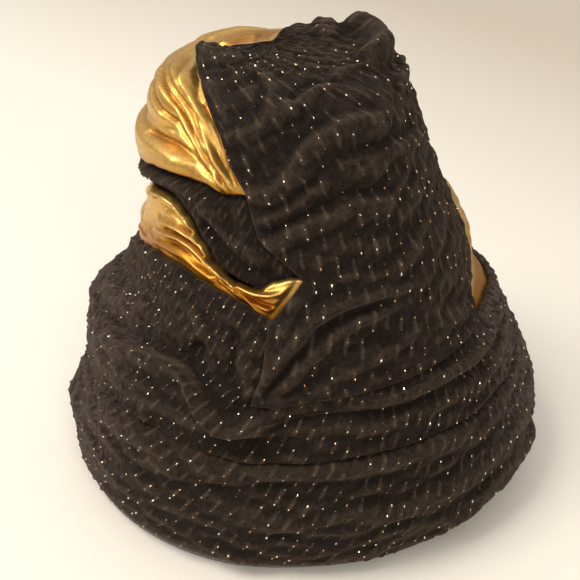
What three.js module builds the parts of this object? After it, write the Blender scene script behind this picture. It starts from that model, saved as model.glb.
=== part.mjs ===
// A beehive hat: velvet wound over a bell-shaped form, with two swathes of gold lamé showing between the
// turns. Millimetres, +Z up, front towards -Y. It stands on its hem at Z = 0, over the origin.
// "turn" is the way round the hat in degrees, 0 at the front and growing towards +X. "up" is the place on
// the form, counted in rows of FORM. "off" is the distance out from the form, along its normal.

import * as THREE from 'three';

const HEAD_HALF_WIDTH = 84;
const HEAD_HALF_LENGTH = 97;
const FLANGE = 3;
const HEM_RISE = 10;
const GAP = 0.6;
const COVER_MARGIN = 13;
const FRONT_STEP = 6;
const BACK_STEP = 16.2;
const FINE_HALF_TURN = 99;

// Section through the form: how far it reaches each way from the middle line, where its turns centre, and
// how far the section is twisted round.
const FORM = [
  { z: 0, left: 122, right: 120, front: 109, back: 112, centre: 0, twist: 6 },
  { z: 12, left: 125, right: 127, front: 114, back: 116, centre: 0, twist: 6 },
  { z: 34, left: 128, right: 130, front: 119, back: 118, centre: 0, twist: 6 },
  { z: 58, left: 120, right: 124, front: 116, back: 112, centre: 0, twist: 6 },
  { z: 80, left: 114, right: 112, front: 111, back: 101, centre: 0, twist: 5 },
  { z: 99, left: 107, right: 105, front: 103, back: 86, centre: 0, twist: 3 },
  { z: 112, left: 90, right: 88, front: 95, back: 84, centre: 0, twist: 0 },
  { z: 136, left: 85, right: 82, front: 86, back: 80, centre: 0, twist: 0 },
  { z: 160, left: 80, right: 70, front: 77, back: 76, centre: 0, twist: 0 },
  { z: 184, left: 81, right: 60, front: 68, back: 66, centre: 0, twist: 0 },
  { z: 206, left: 72, right: 52, front: 60, back: 57, centre: 0, twist: 0 },
  { z: 221, left: 63, right: 42, front: 51, back: 48, centre: 0, twist: 0 },
  { z: 229, left: 50, right: 28, front: 32, back: 36, centre: -10, twist: 0 },
  { z: 232, left: 34, right: -2, front: 14, back: 16, centre: -17, twist: 0 },
  { z: 232.6, left: 16, right: -16, front: 0, back: 0, centre: -16, twist: 0 },
];
const POLE = FORM.length - 1;

// Rows that the faces meeting over the top share.
const CROWN_TOP_ROWS = [9.8, 10.4, 10.9, 11.3, 11.6, 11.9, 12.2, 12.6, 13.0, 13.5, POLE];

// Edges of the wraps, as [turn, up] pairs going once round the hat.
const BASE_TOP = [
  [-180, 5.9], [-150, 5.8], [-120, 5.9], [-98, 6.3], [-78, 7.0], [-68, 7.25], [-60, 7.38], [-46, 7.46],
  [-36, 7.38], [-28, 7.3], [-20, 7.2], [-14, 7.03], [-8, 6.92], [-2, 6.6], [6, 6.1], [20, 5.95], [45, 6.0],
  [60, 5.75], [70, 5.75], [80, 5.8], [92, 5.8], [108, 5.9], [135, 6.0], [160, 6.0],
];
const SASH_TOP = [
  [-180, 8.2], [-140, 8.2], [-110, 8.15], [-85, 8.2], [-66, 8.56], [-58, 8.62], [-52, 8.56], [-47, 8.4],
  [-39, 8.04], [-32, 7.74], [-24, 7.53], [-16, 7.47], [-10, 7.66], [-4, 7.74], [2, 7.72], [20, 7.7],
  [60, 7.9], [95, 8.1], [140, 8.2],
];
const CAP_LOW = [
  [-180, 9.15], [-140, 8.95], [-110, 8.78], [-85, 8.75], [-72, 8.98], [-63, 9.12], [-54, 9.18], [-42, 9.16],
  [-33, 9.06], [-24, 9.1], [0, 9.2], [60, 9.3], [120, 9.3], [150, 9.25],
];
const SWAG_EDGE = [
  [-180, 3.4], [-140, 3.2], [-110, 2.9], [-92, 2.9], [-76, 3.27], [-64, 3.58], [-52, 3.77], [-40, 3.8],
  [-28, 3.7], [-16, 3.72], [-4, 3.8], [12, 3.88], [28, 3.88], [50, 3.83], [80, 3.8], [110, 3.7], [150, 3.5],
];
const HEM_SHOWS = [
  [-180, 3], [-120, 5], [-90, 6], [-60, 6.5], [-30, 6], [-5, 5], [20, 3], [45, 2], [90, 2], [140, 2.5],
];

// Edges of the crown wrap: its left and right ends for each height, and its lower edge for each turn.
const CROWN_ENDS = [
  { up: 5.0, left: -14, right: 53 },
  { up: 5.5, left: -12, right: 57 },
  { up: 5.9, left: -10, right: 69 },
  { up: 6.4, left: -7, right: 84 },
  { up: 6.9, left: -4, right: 93 },
  { up: 7.5, left: -1, right: 101 },
  { up: 7.9, left: -6, right: 107 },
  { up: 8.4, left: -17, right: 114 },
  { up: 9.15, left: -23, right: 125 },
  { up: 9.6, left: -31, right: 132 },
  { up: 10.1, left: -37, right: 139 },
  { up: 10.9, left: -50, right: 148 },
  { up: 11.5, left: -61, right: 154 },
  { up: 12.1, left: -82, right: 158 },
  { up: 12.5, left: -91, right: 160 },
  { up: 14.0, left: -92, right: 165 },
];
const CROWN_LOW = [
  [-14, 5.0], [-8, 5.0], [0, 5.2], [11, 5.32], [20, 5.4], [37, 5.46], [57, 5.5],
];

// Folds: how high each stands, how far it spreads above and below its line, and the line itself.
const BASE_FOLDS = [
  { high: 6, above: 4, below: 6, line: [[-64, 4.7], [-50, 5.0], [-40, 5.2], [-34, 5.15], [-29, 4.8],
    [-24, 4.4], [-19, 4.3], [-13, 4.5], [-5, 4.95], [8, 5.15], [25, 5.1], [39, 5.05], [58, 5.1]] },
  { high: 3, above: 4, below: 8, line: [[52, 5.05], [66, 5.15], [80, 5.25], [96, 5.3], [120, 5.2]] },
  { high: -4, above: 6, below: 4, line: [[-105, 4.1], [-88, 4.15], [-72, 4.5], [-58, 5.15], [-48, 5.45],
    [-39, 5.5], [-33, 5.35], [-28, 5.05]] },
  { high: 4, above: 9, below: 11, line: [[-118, 4.5], [-98, 4.6], [-84, 4.75], [-70, 5.1], [-55, 5.8]] },
  { high: -2.5, above: 3, below: 4, line: [[-5, 4.5], [8, 4.68], [22, 4.62], [37, 4.58], [61, 4.75],
    [80, 4.75], [100, 4.7]] },
  { high: -4, above: 7, below: 5, line: [[-40, 3.85], [-30, 3.8], [-18, 3.85], [-6, 3.95], [8, 3.95],
    [20, 3.85]] },
  { high: -3, above: 5, below: 4, line: [[-100, 2.6], [-80, 2.9], [-66, 3.3], [-52, 3.65], [-40, 3.8]] },
  { high: -2.5, above: 4, below: 4, line: [[18, 3.7], [32, 3.5], [48, 3.5], [64, 3.6], [90, 3.5]] },
  { high: 2.5, above: 5, below: 8, line: [[-34, 3.3], [-20, 3.5], [0, 3.6], [18, 3.4], [34, 3.1]] },
  { high: 2, above: 5, below: 7, line: [[-80, 3.3], [-66, 3.8], [-52, 4.3], [-40, 4.5]] },
  { high: -2.2, above: 4, below: 4, line: [[-60, 2.2], [-38, 2.5], [-25, 2.45], [-12, 2.65], [10, 2.8],
    [29, 2.75], [38, 2.85], [54, 3.0]] },
  { high: 2.5, above: 4, below: 4, line: [[-13, 6.7], [-16, 6.15], [-17, 5.6], [-17, 5.1]] },
  { high: -3, above: 5, below: 5, line: [[-180, 4.6], [-160, 4.7], [-140, 4.9], [-120, 4.7]] },
  { high: -3, above: 5, below: 5, line: [[110, 3.7], [135, 3.9], [160, 3.8], [180, 3.5]] },
  { high: 3, above: 7, below: 9, line: [[120, 4.4], [150, 4.6], [180, 4.0], [210, 3.6], [240, 3.5]] },
  { high: -2.5, above: 5, below: 5, line: [[150, 2.4], [180, 2.6], [210, 2.5], [250, 2.2]] },
];
const CROWN_FOLDS = [
  { high: 2.5, above: 8, below: 12, line: [[172, 13.2], [155, 12.8], [138, 12.4], [122, 12.1]] },
  { high: 12, above: 6, below: 4.5, line: [[132, 12.1], [120, 11.9], [108, 11.8], [97, 11.75], [86, 11.75],
    [76, 11.85], [66, 12.0]] },
  { high: 4, above: 4, below: 4, line: [[125, 10.8], [105, 10.8], [85, 10.8], [62, 10.9]] },
  { high: 3.2, above: 4, below: 9, line: [[-22, 9.3], [-16, 9.25], [-11, 9.35], [-5, 9.87], [-1, 10.2],
    [6, 10.4], [17, 10.7], [39, 10.5]] },
  { high: -1.4, above: 9, below: 4, line: [[-16, 9.7], [-10, 9.9], [-4, 10.3], [2, 10.5]] },
  { high: 2.6, above: 4, below: 7, line: [[-19, 8.2], [-11, 8.4], [-5, 8.67], [4, 8.82], [11, 8.78],
    [18, 8.95], [30, 8.92]] },
  { high: 2, above: 4, below: 4, line: [[-46, 12.3], [-22, 11.9], [-17, 11.2], [-17, 10.8]] },
  { high: 1.8, above: 4, below: 4, line: [[-5, 11.2], [12, 11.65], [30, 11.9], [56, 11.8]] },
  { high: 2.6, above: 4, below: 4, line: [[6, 6.6], [0, 6.3], [-6, 5.9], [-9, 5.6]] },
  { high: 1.6, above: 5, below: 5, line: [[24, 7.4], [45, 7.2], [65, 7.4]] },
  { high: 1.4, above: 5, below: 5, line: [[30, 9.8], [55, 9.6], [80, 9.8]] },
  { high: 2.5, above: 5, below: 8, line: [[-2, 7.3], [0, 6.7], [-4, 6.2], [-8, 5.6]] },
];
const CAP_FOLDS = [
  { high: 3, above: 3, below: 3, line: [[-29, 9.42], [-36, 9.92], [-47, 10.55], [-62, 11.05], [-84, 11.5]] },
  { high: 3, above: 3, below: 3, line: [[-31, 9.4], [-43, 10.02], [-60, 10.6], [-82, 10.95], [-103, 11.1]] },
  { high: 2.6, above: 4, below: 4, line: [[-34, 9.4], [-50, 9.9], [-68, 10.25], [-90, 10.3], [-115, 10.5]] },
  { high: 8, above: 9, below: 9, line: [[-50, 9.6], [-66, 9.75], [-84, 9.75], [-104, 9.8], [-135, 10]] },
  { high: 7, above: 8, below: 9, line: [[-98, 12.6], [-118, 12.5], [-140, 12.6], [-165, 12.8]] },
  { high: 4, above: 8, below: 6, line: [[-62, 11.7], [-85, 11.6], [-110, 11.5], [-140, 11.3], [-170, 11]] },
];
const SASH_FOLDS = [
  { high: 2.6, above: 3, below: 4, line: [[-56, 8.15], [-46, 8.1], [-38, 8.0], [-32, 7.82], [-26, 7.62],
    [-20, 7.4]] },
  { high: 2.2, above: 2, below: 4, line: [[-68, 8.55], [-55, 8.5], [-47, 8.35], [-40, 8.1], [-33, 7.85]] },
  { high: 2, above: 5, below: 6, line: [[-60, 7.75], [-80, 7.6], [-105, 7.6], [-130, 7.6]] },
  { high: 2.5, above: 6, below: 6, line: [[-130, 7.9], [-165, 7.5], [-200, 7.6], [-235, 7.5], [-262, 7.2]] },
];
const BAND_FOLDS = [
  { high: 3, above: 4, below: 4, line: [[-30, 8.5], [-42, 8.75], [-55, 8.85], [-68, 8.75], [-90, 8.45],
    [-125, 8.45], [-160, 8.55], [-200, 8.7]] },
  { high: 2.5, above: 4, below: 6, line: [[-24, 8.1], [-32, 8.3], [-40, 8.6]] },
];

const lerp = THREE.MathUtils.lerp;
const clamp = THREE.MathUtils.clamp;
const step = THREE.MathUtils.smoothstep;

function spline(a, b, c, d, f) {
  const slope = 3 * (b - c) + d - a;
  return b + 0.5 * f * (c - a + f * (2 * a - 5 * b + 4 * c - d + f * slope));
}

function formValue(key, up) {
  const i = clamp(Math.floor(up), 0, POLE - 1);
  const row = (k) => FORM[clamp(k, 0, POLE)][key];
  return spline(row(i - 1), row(i), row(i + 1), row(i + 2), up - i);
}

function onForm(turn, up) {
  const angle = THREE.MathUtils.degToRad(turn);
  const own = THREE.MathUtils.degToRad(turn - formValue('twist', up));
  const centre = formValue('centre', up);
  const across = Math.sin(own) < 0 ? formValue('left', up) + centre : formValue('right', up) - centre;
  const along = formValue(Math.cos(own) > 0 ? 'front' : 'back', up);
  const a = Math.max(across, 0);
  const b = Math.max(along, 0);
  const reach = a * b === 0 ? 0 : (a * b) / Math.hypot(b * Math.sin(own), a * Math.cos(own));
  return new THREE.Vector3(
    centre + reach * Math.sin(angle), -reach * Math.cos(angle), formValue('z', up));
}

function outward(turn, up) {
  if (up > POLE - 0.05) {
    return new THREE.Vector3(0, 0, 1);
  }
  const low = Math.max(up - 0.04, 0);
  const round = onForm(turn + 0.5, up).sub(onForm(turn - 0.5, up));
  const rise = onForm(turn, up + 0.04).sub(onForm(turn, low));
  return round.cross(rise).normalize();
}

function place(turn, up, off) {
  return onForm(turn, up).addScaledVector(outward(turn, up), off);
}

function edgeAt(pairs, turn, closed = true) {
  const n = pairs.length;
  const at = (k) => {
    if (!closed) {
      return pairs[clamp(k, 0, n - 1)];
    }
    const lap = Math.floor(k / n);
    const pair = pairs[k - lap * n];
    return [pair[0] + 360 * lap, pair[1]];
  };
  const here = closed ? turn - 360 * Math.floor((turn - pairs[0][0]) / 360) : turn;
  let i = 0;
  while (i < n - (closed ? 1 : 2) && at(i + 1)[0] <= here) {
    i += 1;
  }
  const f = clamp((here - at(i)[0]) / (at(i + 1)[0] - at(i)[0]), 0, 1);
  return lerp(at(i)[1], at(i + 1)[1], f * f * (3 - 2 * f));
}

function crownEnd(side, up) {
  let i = 0;
  while (i < CROWN_ENDS.length - 2 && CROWN_ENDS[i + 1].up <= up) {
    i += 1;
  }
  const row = (k) => CROWN_ENDS[clamp(k, 0, CROWN_ENDS.length - 1)];
  const f = clamp((up - row(i).up) / (row(i + 1).up - row(i).up), 0, 1);
  return lerp(row(i)[side], row(i + 1)[side], f);
}

// A fold becomes a chain of points along its line, each with the form's outward direction.
function chain(fold) {
  const points = [];
  const n = fold.line.length;
  const knot = (k) => fold.line[clamp(k, 0, n - 1)];
  const steps = 6;
  for (let i = 0; i < n - 1; i += 1) {
    for (let s = 0; s < steps; s += 1) {
      const [turn, up] = [0, 1].map((c) => (
        spline(knot(i - 1)[c], knot(i)[c], knot(i + 1)[c], knot(i + 2)[c], s / steps)));
      points.push(onForm(turn, up));
    }
  }
  points.push(onForm(...knot(n - 1)));
  return { ...fold, points };
}

function relief(folds, turn, up) {
  const here = onForm(turn, up);
  const normal = outward(turn, up);
  let total = 0;
  for (const fold of folds) {
    let best = Infinity;
    let side = 0;
    let along = 0;
    const last = fold.points.length - 1;
    for (let i = 0; i < last; i += 1) {
      const a = fold.points[i];
      const run = fold.points[i + 1].clone().sub(a);
      const to = here.clone().sub(a);
      const f = clamp(to.dot(run) / Math.max(run.lengthSq(), 1e-9), 0, 1);
      const away = to.addScaledVector(run, -f);
      if (away.lengthSq() < best) {
        best = away.lengthSq();
        side = away.dot(normal.clone().cross(run));
        along = (i + f) / last;
      }
    }
    const spread = side > 0 ? fold.above : fold.below;
    const ends = step(along, 0, 0.15) * step(1 - along, 0, 0.15);
    total += fold.high * ends * Math.exp(-best / (spread * spread));
  }
  return total;
}

// Under the crown wrap, and for a margin past its edge, the pieces below keep within its inner face.
function underCrown(turn, up, off, limit) {
  const low = edgeAt(CROWN_LOW, clamp(turn, -14, 57), false);
  const reach = Math.hypot(formValue('left', up) + formValue('centre', up), 1);
  const margin = THREE.MathUtils.radToDeg(COVER_MARGIN / reach);
  const inside = Math.min(turn - crownEnd('left', up), crownEnd('right', up) - turn);
  const cover = up > low - 0.3 ? step(inside, -1.7 * margin, -margin) : 0;
  return lerp(off, Math.min(off, limit), cover);
}

function crownInner(turn, up) {
  const top = edgeAt(BASE_TOP, turn);
  return lerp(1.0, -2.2, step(up, top + 0.15, top + 0.75));
}

function turnsRound() {
  const turns = [];
  for (let turn = -FINE_HALF_TURN; turn < FINE_HALF_TURN; turn += FRONT_STEP) {
    turns.push(turn);
  }
  for (let turn = FINE_HALF_TURN; turn < 360 - FINE_HALF_TURN; turn += BACK_STEP) {
    turns.push(turn > 180 ? turn - 360 : turn);
  }
  return turns;
}

// Skin over a row of closed outlines; an open run of outlines gets a wall at each end. Each square splits
// from its lower left to its upper right, outside and inside, so that layers laid over each other nest.
function skin(outlines, outerCount, closed) {
  const index = new Map();
  const position = [];
  const faces = [];
  const vertex = (p) => {
    const key = [p.x, p.y, p.z].map((v) => Math.round(v * 1000)).join();
    if (!index.has(key)) {
      index.set(key, position.length / 3);
      position.push(p.x, p.y, p.z);
    }
    return index.get(key);
  };
  const face = (...points) => {
    const [a, b, c] = points.map(vertex);
    if (a !== b && b !== c && c !== a) {
      faces.push(a, b, c);
    }
  };
  const n = outlines.length;
  const m = outlines[0].length;
  for (let j = 0; j < (closed ? n : n - 1); j += 1) {
    const here = outlines[j];
    const next = outlines[(j + 1) % n];
    for (let i = 0; i < m; i += 1) {
      const k = (i + 1) % m;
      if (i < outerCount) {
        face(here[i], next[i], next[k]);
        face(here[i], next[k], here[k]);
      } else {
        face(here[i], next[i], here[k]);
        face(next[i], next[k], here[k]);
      }
    }
  }
  if (!closed) {
    for (const [outline, flip] of [[outlines[0], true], [outlines[n - 1], false]]) {
      const outer = outline.slice(0, outerCount);
      const inner = outline.slice(outerCount).reverse();
      let i = 0;
      let k = 0;
      while (i < outer.length - 1 || k < inner.length - 1) {
        const outerNext = (i + 1) / (outer.length - 1);
        const innerNext = (k + 1) / (inner.length - 1);
        const corner = outerNext <= innerNext ? outer[i + 1] : inner[k + 1];
        if (flip) {
          face(outer[i], corner, inner[k]);
        } else {
          face(outer[i], inner[k], corner);
        }
        if (outerNext <= innerNext) {
          i += 1;
        } else {
          k += 1;
        }
      }
    }
  }
  const geometry = new THREE.BufferGeometry();
  geometry.setAttribute('position', new THREE.Float32BufferAttribute(position, 3));
  geometry.setIndex(faces);
  geometry.computeVertexNormals();
  return geometry;
}

// A wrap that goes all the way round: rows of cloth from its low edge to its high edge, outside then inside.
function ring({ outside, inside, outer, inner }) {
  const outlines = turnsRound().map((turn) => {
    const ups = outside(turn);
    const outline = ups.map((up, i) => {
      const bare = inner(turn, up);
      const thin = i === 0 || (i === ups.length - 1 && up < POLE) ? 0.55 : 1;
      return place(turn, up, bare + thin * (outer(turn, up) - bare));
    });
    inside(turn).reverse().forEach((up) => {
      outline.push(place(turn, up, inner(turn, up)));
    });
    return outline;
  });
  return skin(outlines, outside(0).length, true);
}

function evenly(low, high, rows) {
  return Array.from({ length: rows + 1 }, (_, i) => lerp(low, high, i / rows));
}

const velvet = new THREE.MeshStandardMaterial({ color: 0x17130f, roughness: 0.95, metalness: 0 });
const lame = new THREE.MeshStandardMaterial({ color: 0xc9953f, roughness: 0.38, metalness: 0.8 });
const binding = new THREE.MeshStandardMaterial({ color: 0x3a3430, roughness: 0.9, metalness: 0 });

const hat = new THREE.Group();

function add(name, geometry, material) {
  const mesh = new THREE.Mesh(geometry, material);
  mesh.name = name;
  hat.add(mesh);
}

// Hem: a plain band under the lowest turn of velvet, and the faced underside in to the head opening.
const upForHeight = (z) => {
  let up = 0;
  while (formValue('z', up) < z) {
    up += 0.01;
  }
  return up;
};
const hemOutlines = turnsRound().map((turn) => {
  const angle = THREE.MathUtils.degToRad(turn);
  const opening = (z) => new THREE.Vector3(
    HEAD_HALF_WIDTH * Math.sin(angle), -HEAD_HALF_LENGTH * Math.cos(angle), z);
  const flat = (up, off, z) => place(turn, up, off).setZ(z);
  const shows = edgeAt(HEM_SHOWS, turn);
  const lipUp = upForHeight(shows - GAP);
  const midUp = upForHeight(shows + HEM_RISE / 2);
  const topUp = upForHeight(shows + HEM_RISE);
  return [
    opening(0),
    flat(0, -0.8, 0),
    place(turn, lipUp, -0.8),
    place(turn, lipUp, -3.6),
    place(turn, midUp, -3.6),
    place(turn, topUp, -3.6),
    place(turn, topUp, -6.2),
    flat(0, -6.2, FLANGE),
    opening(FLANGE),
  ];
});
add('hem_band', skin(hemOutlines, 4, true), binding);

// Base: the wide velvet bell, open inside, wound as a lower swag and an upper one that laps over its edge.
const baseLow = (turn) => upForHeight(edgeAt(HEM_SHOWS, turn));
const swagEdge = (turn) => edgeAt(SWAG_EDGE, turn);
const baseTop = (turn) => edgeAt(BASE_TOP, turn);
const baseFolds = BASE_FOLDS.map(chain);
add('lower_swag', ring({
  outside: (turn) => [
    ...evenly(baseLow(turn), swagEdge(turn) - 0.15, 8),
    swagEdge(turn), swagEdge(turn) + 0.4,
  ],
  inside: (turn) => [
    baseLow(turn), baseLow(turn) + 0.3, baseLow(turn) + 0.65, baseLow(turn) + 1.0,
    baseLow(turn) + 1.3, swagEdge(turn) - 0.15, swagEdge(turn) + 0.4,
  ],
  inner: (turn, up) => lerp(-2.8, -7.6, step(up, baseLow(turn) + 1.0, baseLow(turn) + 1.3)),
  outer: (turn, up) => {
    const foot = step(up, baseLow(turn) + 0.2, baseLow(turn) + 1.2);
    const off = Math.max(relief(baseFolds, turn, up) * foot, lerp(-0.2, -4.6, foot));
    return lerp(off, -5.2, step(up, swagEdge(turn) - 0.3, swagEdge(turn) - 0.12));
  },
}), velvet);
add('upper_swag', ring({
  outside: (turn) => evenly(swagEdge(turn) - 0.1, baseTop(turn), 9),
  inside: (turn) => [
    swagEdge(turn) - 0.1, swagEdge(turn) + 0.45, swagEdge(turn) + 0.7,
    baseTop(turn) - 1.3, baseTop(turn) - 0.75, baseTop(turn),
  ],
  inner: (turn, up) => {
    const lap = lerp(-4.4, -7.6, step(up, swagEdge(turn) + 0.45, swagEdge(turn) + 0.7));
    return lerp(lap, -2.2, step(up, baseTop(turn) - 1.3, baseTop(turn) - 0.75));
  },
  outer: (turn, up) => {
    const margin = step(up, baseTop(turn) - 1.3, baseTop(turn) - 0.6);
    const lap = 1 - step(up, swagEdge(turn) + 0.5, swagEdge(turn) + 0.8);
    const off = Math.max(relief(baseFolds, turn, up), lerp(-4.6, -0.2, margin), lerp(-4.6, -2.0, lap));
    return underCrown(turn, up, off, 1.0 - GAP);
  },
}), velvet);

// Middle band: the velvet turn between the two gold swathes, running on round the hat under the crown wrap.
const bandFolds = BAND_FOLDS.map(chain);
const underSash = (turn) => evenly(baseTop(turn) + 0.1, edgeAt(SASH_TOP, turn), 3);
add('middle_band', ring({
  outside: (turn) => {
    const gold = edgeAt(SASH_TOP, turn);
    const cap = edgeAt(CAP_LOW, turn);
    return [...underSash(turn), gold + 0.1, ...evenly(gold + 0.22, cap - 0.2, 2), cap - 0.08, cap + 0.5];
  },
  inside: (turn) => evenly(baseTop(turn) + 0.1, edgeAt(CAP_LOW, turn) + 0.5, 4),
  inner: () => -8.0,
  outer: (turn, up) => {
    const between = step(up, edgeAt(SASH_TOP, turn) + 0.1, edgeAt(SASH_TOP, turn) + 0.24)
      * (1 - step(up, edgeAt(CAP_LOW, turn) - 0.22, edgeAt(CAP_LOW, turn) - 0.08));
    const off = lerp(-5.8, -3 + Math.max(relief(bandFolds, turn, up), 0), between);
    return underCrown(turn, up, off, -2.2 - GAP);
  },
}), velvet);

// Gold sash: the lower swathe of lamé, twisted at the front and laid smooth round the back.
const sashFolds = SASH_FOLDS.map(chain);
add('gold_sash', ring({
  outside: (turn) => [
    baseTop(turn) - 0.45, baseTop(turn) - 0.2,
    ...evenly(baseTop(turn) + 0.05, edgeAt(SASH_TOP, turn), 6),
  ],
  inside: (turn) => [baseTop(turn) - 0.45, ...underSash(turn)],
  inner: () => -5.0,
  outer: (turn, up) => {
    const above = step(up, baseTop(turn) + 0.02, baseTop(turn) + 0.25);
    const off = -3.05 + (1.45 + Math.max(relief(sashFolds, turn, up), 0)) * above;
    return underCrown(turn, up, off, -2.45 - GAP);
  },
}), lame);

// Gold cap: the upper swathe of lamé, pleated to a point at the front and closed over the top.
const capFolds = CAP_FOLDS.map(chain);
add('gold_cap', ring({
  outside: (turn) => [edgeAt(CAP_LOW, turn), ...CROWN_TOP_ROWS],
  inside: (turn) => [
    edgeAt(CAP_LOW, turn), edgeAt(CAP_LOW, turn) + 0.6, 10.4, 11.3, 11.9, 12.6, POLE,
  ],
  inner: () => -5.0,
  outer: (turn, up) => {
    const off = -2.8 + Math.max(relief(capFolds, turn, up), 0) * step(POLE - up, 0.5, 1.6);
    return underCrown(turn, up, off, -2.2 - GAP);
  },
}), lame);

// Crown wrap: the outermost velvet, from its rolled top down the front and right to the swags of the base.
const crownFolds = CROWN_FOLDS.map(chain);
const crownColumns = 30;
const crownOutside = evenly(5.0, POLE, 18);
const crownInside = [5, 5.5, 6.05, 6.65, 7.15, 7.75, 8.5, 9.2, ...CROWN_TOP_ROWS];
const crownPoint = (u, nominal, side) => {
  const w = (nominal - 5.0) / (POLE - 5.0);
  const turn = lerp(crownEnd('left', nominal), crownEnd('right', nominal), u);
  const lift = edgeAt(CROWN_LOW, clamp(turn, -14, 57), false) - 5.0;
  const up = nominal + lift * (1 - w) ** 6;
  const bare = crownInner(turn, up);
  if (side === 'inner') {
    return place(turn, up, bare);
  }
  const edge = Math.min(u, 1 - u) * crownColumns;
  const thin = edge < 0.5 || w === 0 ? 0.5 : 1;
  const thick = 2.9 + Math.max(relief(crownFolds, turn, up), -1.2) * step(w, 0, 0.05);
  return place(turn, up, bare + thin * Math.max(thick, 1.6));
};
const crownOutlines = [];
for (let j = 0; j <= crownColumns; j += 1) {
  const outline = crownOutside.map((up) => crownPoint(j / crownColumns, up, 'outer'));
  crownInside.toReversed().forEach((up) => {
    outline.push(crownPoint(j / crownColumns, up, 'inner'));
  });
  crownOutlines.push(outline);
}
add('crown_wrap', skin(crownOutlines, crownOutside.length, false), velvet);

export default hat;
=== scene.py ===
import math

import bpy
import numpy as np
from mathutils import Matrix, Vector, kdtree


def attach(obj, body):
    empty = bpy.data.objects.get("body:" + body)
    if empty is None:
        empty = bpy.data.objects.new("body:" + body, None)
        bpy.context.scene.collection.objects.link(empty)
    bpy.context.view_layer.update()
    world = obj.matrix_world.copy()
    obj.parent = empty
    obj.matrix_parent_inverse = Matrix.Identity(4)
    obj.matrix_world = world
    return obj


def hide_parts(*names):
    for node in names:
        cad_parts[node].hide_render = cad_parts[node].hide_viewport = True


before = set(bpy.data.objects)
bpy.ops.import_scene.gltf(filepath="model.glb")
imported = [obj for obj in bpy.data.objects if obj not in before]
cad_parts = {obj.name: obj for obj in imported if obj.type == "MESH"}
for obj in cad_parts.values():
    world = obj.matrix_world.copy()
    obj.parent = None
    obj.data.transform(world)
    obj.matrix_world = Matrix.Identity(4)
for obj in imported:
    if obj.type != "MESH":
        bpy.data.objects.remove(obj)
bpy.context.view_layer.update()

# Lengths are in millimetres until a mesh is made. "turn" is the way round the hat in degrees, 0 at the front
# and growing towards +X. "up" is the place on the padded form, counted in rows of FORM.


# ---------------------------------------------------------------------------------------------------------
# Hem band: a plain ribbed cotton binding under the lowest turn of velvet, 2 to 6 mm of it showing. It is
# turned in underneath as a flat facing to the head opening, and sewn down all round.
# ---------------------------------------------------------------------------------------------------------

# The form that every turn of cloth is wound on: its rows from the foot to the tip. Each has its height, its
# reach to the left, right, front and back, where its centre lies across, and its twist in degrees.
HEIGHT, LEFT, RIGHT, FRONT, BACK, CENTRE, TWIST = range(7)
FORM = np.array([
    (0, 122, 120, 109, 112, 0, 6),
    (12, 125, 127, 114, 116, 0, 6),
    (34, 128, 130, 119, 118, 0, 6),
    (58, 120, 124, 116, 112, 0, 6),
    (80, 114, 112, 111, 101, 0, 5),
    (99, 107, 105, 103, 86, 0, 3),
    (112, 90, 88, 95, 84, 0, 0),
    (136, 85, 82, 86, 80, 0, 0),
    (160, 80, 70, 77, 76, 0, 0),
    (184, 81, 60, 68, 66, 0, 0),
    (206, 72, 52, 60, 57, 0, 0),
    (221, 63, 42, 51, 48, 0, 0),
    (229, 50, 28, 32, 36, -10, 0),
    (232, 34, -2, 14, 16, -17, 0),
    (232.6, 16, -16, 0, 0, -16, 0),
], float)
TIP = len(FORM) - 1


def through(before, a, b, after, f):
    """A smooth curve through a and b, f of the way between them."""
    return a + 0.5 * f * (b - before + f * (2 * before - 5 * a + 4 * b - after
                                            + f * (3 * (a - b) + after - before)))


def form_value(column, up):
    """One column of the form at any up, between its rows too."""
    row = np.clip(np.floor(up).astype(int), 0, TIP - 1)
    before, a, b, after = (FORM[np.clip(row + k, 0, TIP), column] for k in (-1, 0, 1, 2))
    return through(before, a, b, after, up - row)


def on_form(turn, up):
    """The place on the form at a turn and an up."""
    turn, up = np.broadcast_arrays(np.asarray(turn, float), np.asarray(up, float))
    z, left, right, front, back, centre, twist = (form_value(k, up) for k in range(TWIST + 1))
    own = np.radians(turn - twist)
    across = np.maximum(np.where(np.sin(own) < 0, left + centre, right - centre), 1e-6)
    along = np.maximum(np.where(np.cos(own) > 0, front, back), 1e-6)
    reach = across * along / np.hypot(along * np.sin(own), across * np.cos(own))
    way = np.radians(turn)
    return np.stack([centre + reach * np.sin(way), -reach * np.cos(way), z], -1)


def outward(turn, up):
    """The form's own direction outwards."""
    turn, up = np.broadcast_arrays(np.asarray(turn, float), np.asarray(up, float))
    high = np.minimum(np.maximum(up - 0.04, 0) + 0.08, TIP - 0.02)
    around = on_form(turn + 0.5, high - 0.04) - on_form(turn - 0.5, high - 0.04)
    rise = on_form(turn, high) - on_form(turn, high - 0.08)
    way = np.cross(around, rise)
    return way / np.maximum(np.linalg.norm(way, axis=-1, keepdims=True), 1e-9)


def edge_at(pairs, turn):
    """The up of an edge that goes once round the hat, at any turn."""
    turns, ups = np.array(pairs, float).T
    turns = np.append(turns, turns[0] + 360)
    ups = np.append(ups, ups[0])
    here = (np.asarray(turn, float) - turns[0]) % 360 + turns[0]
    i = np.clip(np.searchsorted(turns, here, side="right") - 1, 0, len(turns) - 2)
    f = (here - turns[i]) / (turns[i + 1] - turns[i])
    return ups[i] + (ups[i + 1] - ups[i]) * f * f * (3 - 2 * f)


def step(x, low, high):
    """0 up to low, 1 from high on, and a smooth rise between them."""
    f = np.clip((x - low) / (high - low), 0, 1)
    return f * f * (3 - 2 * f)


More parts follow.
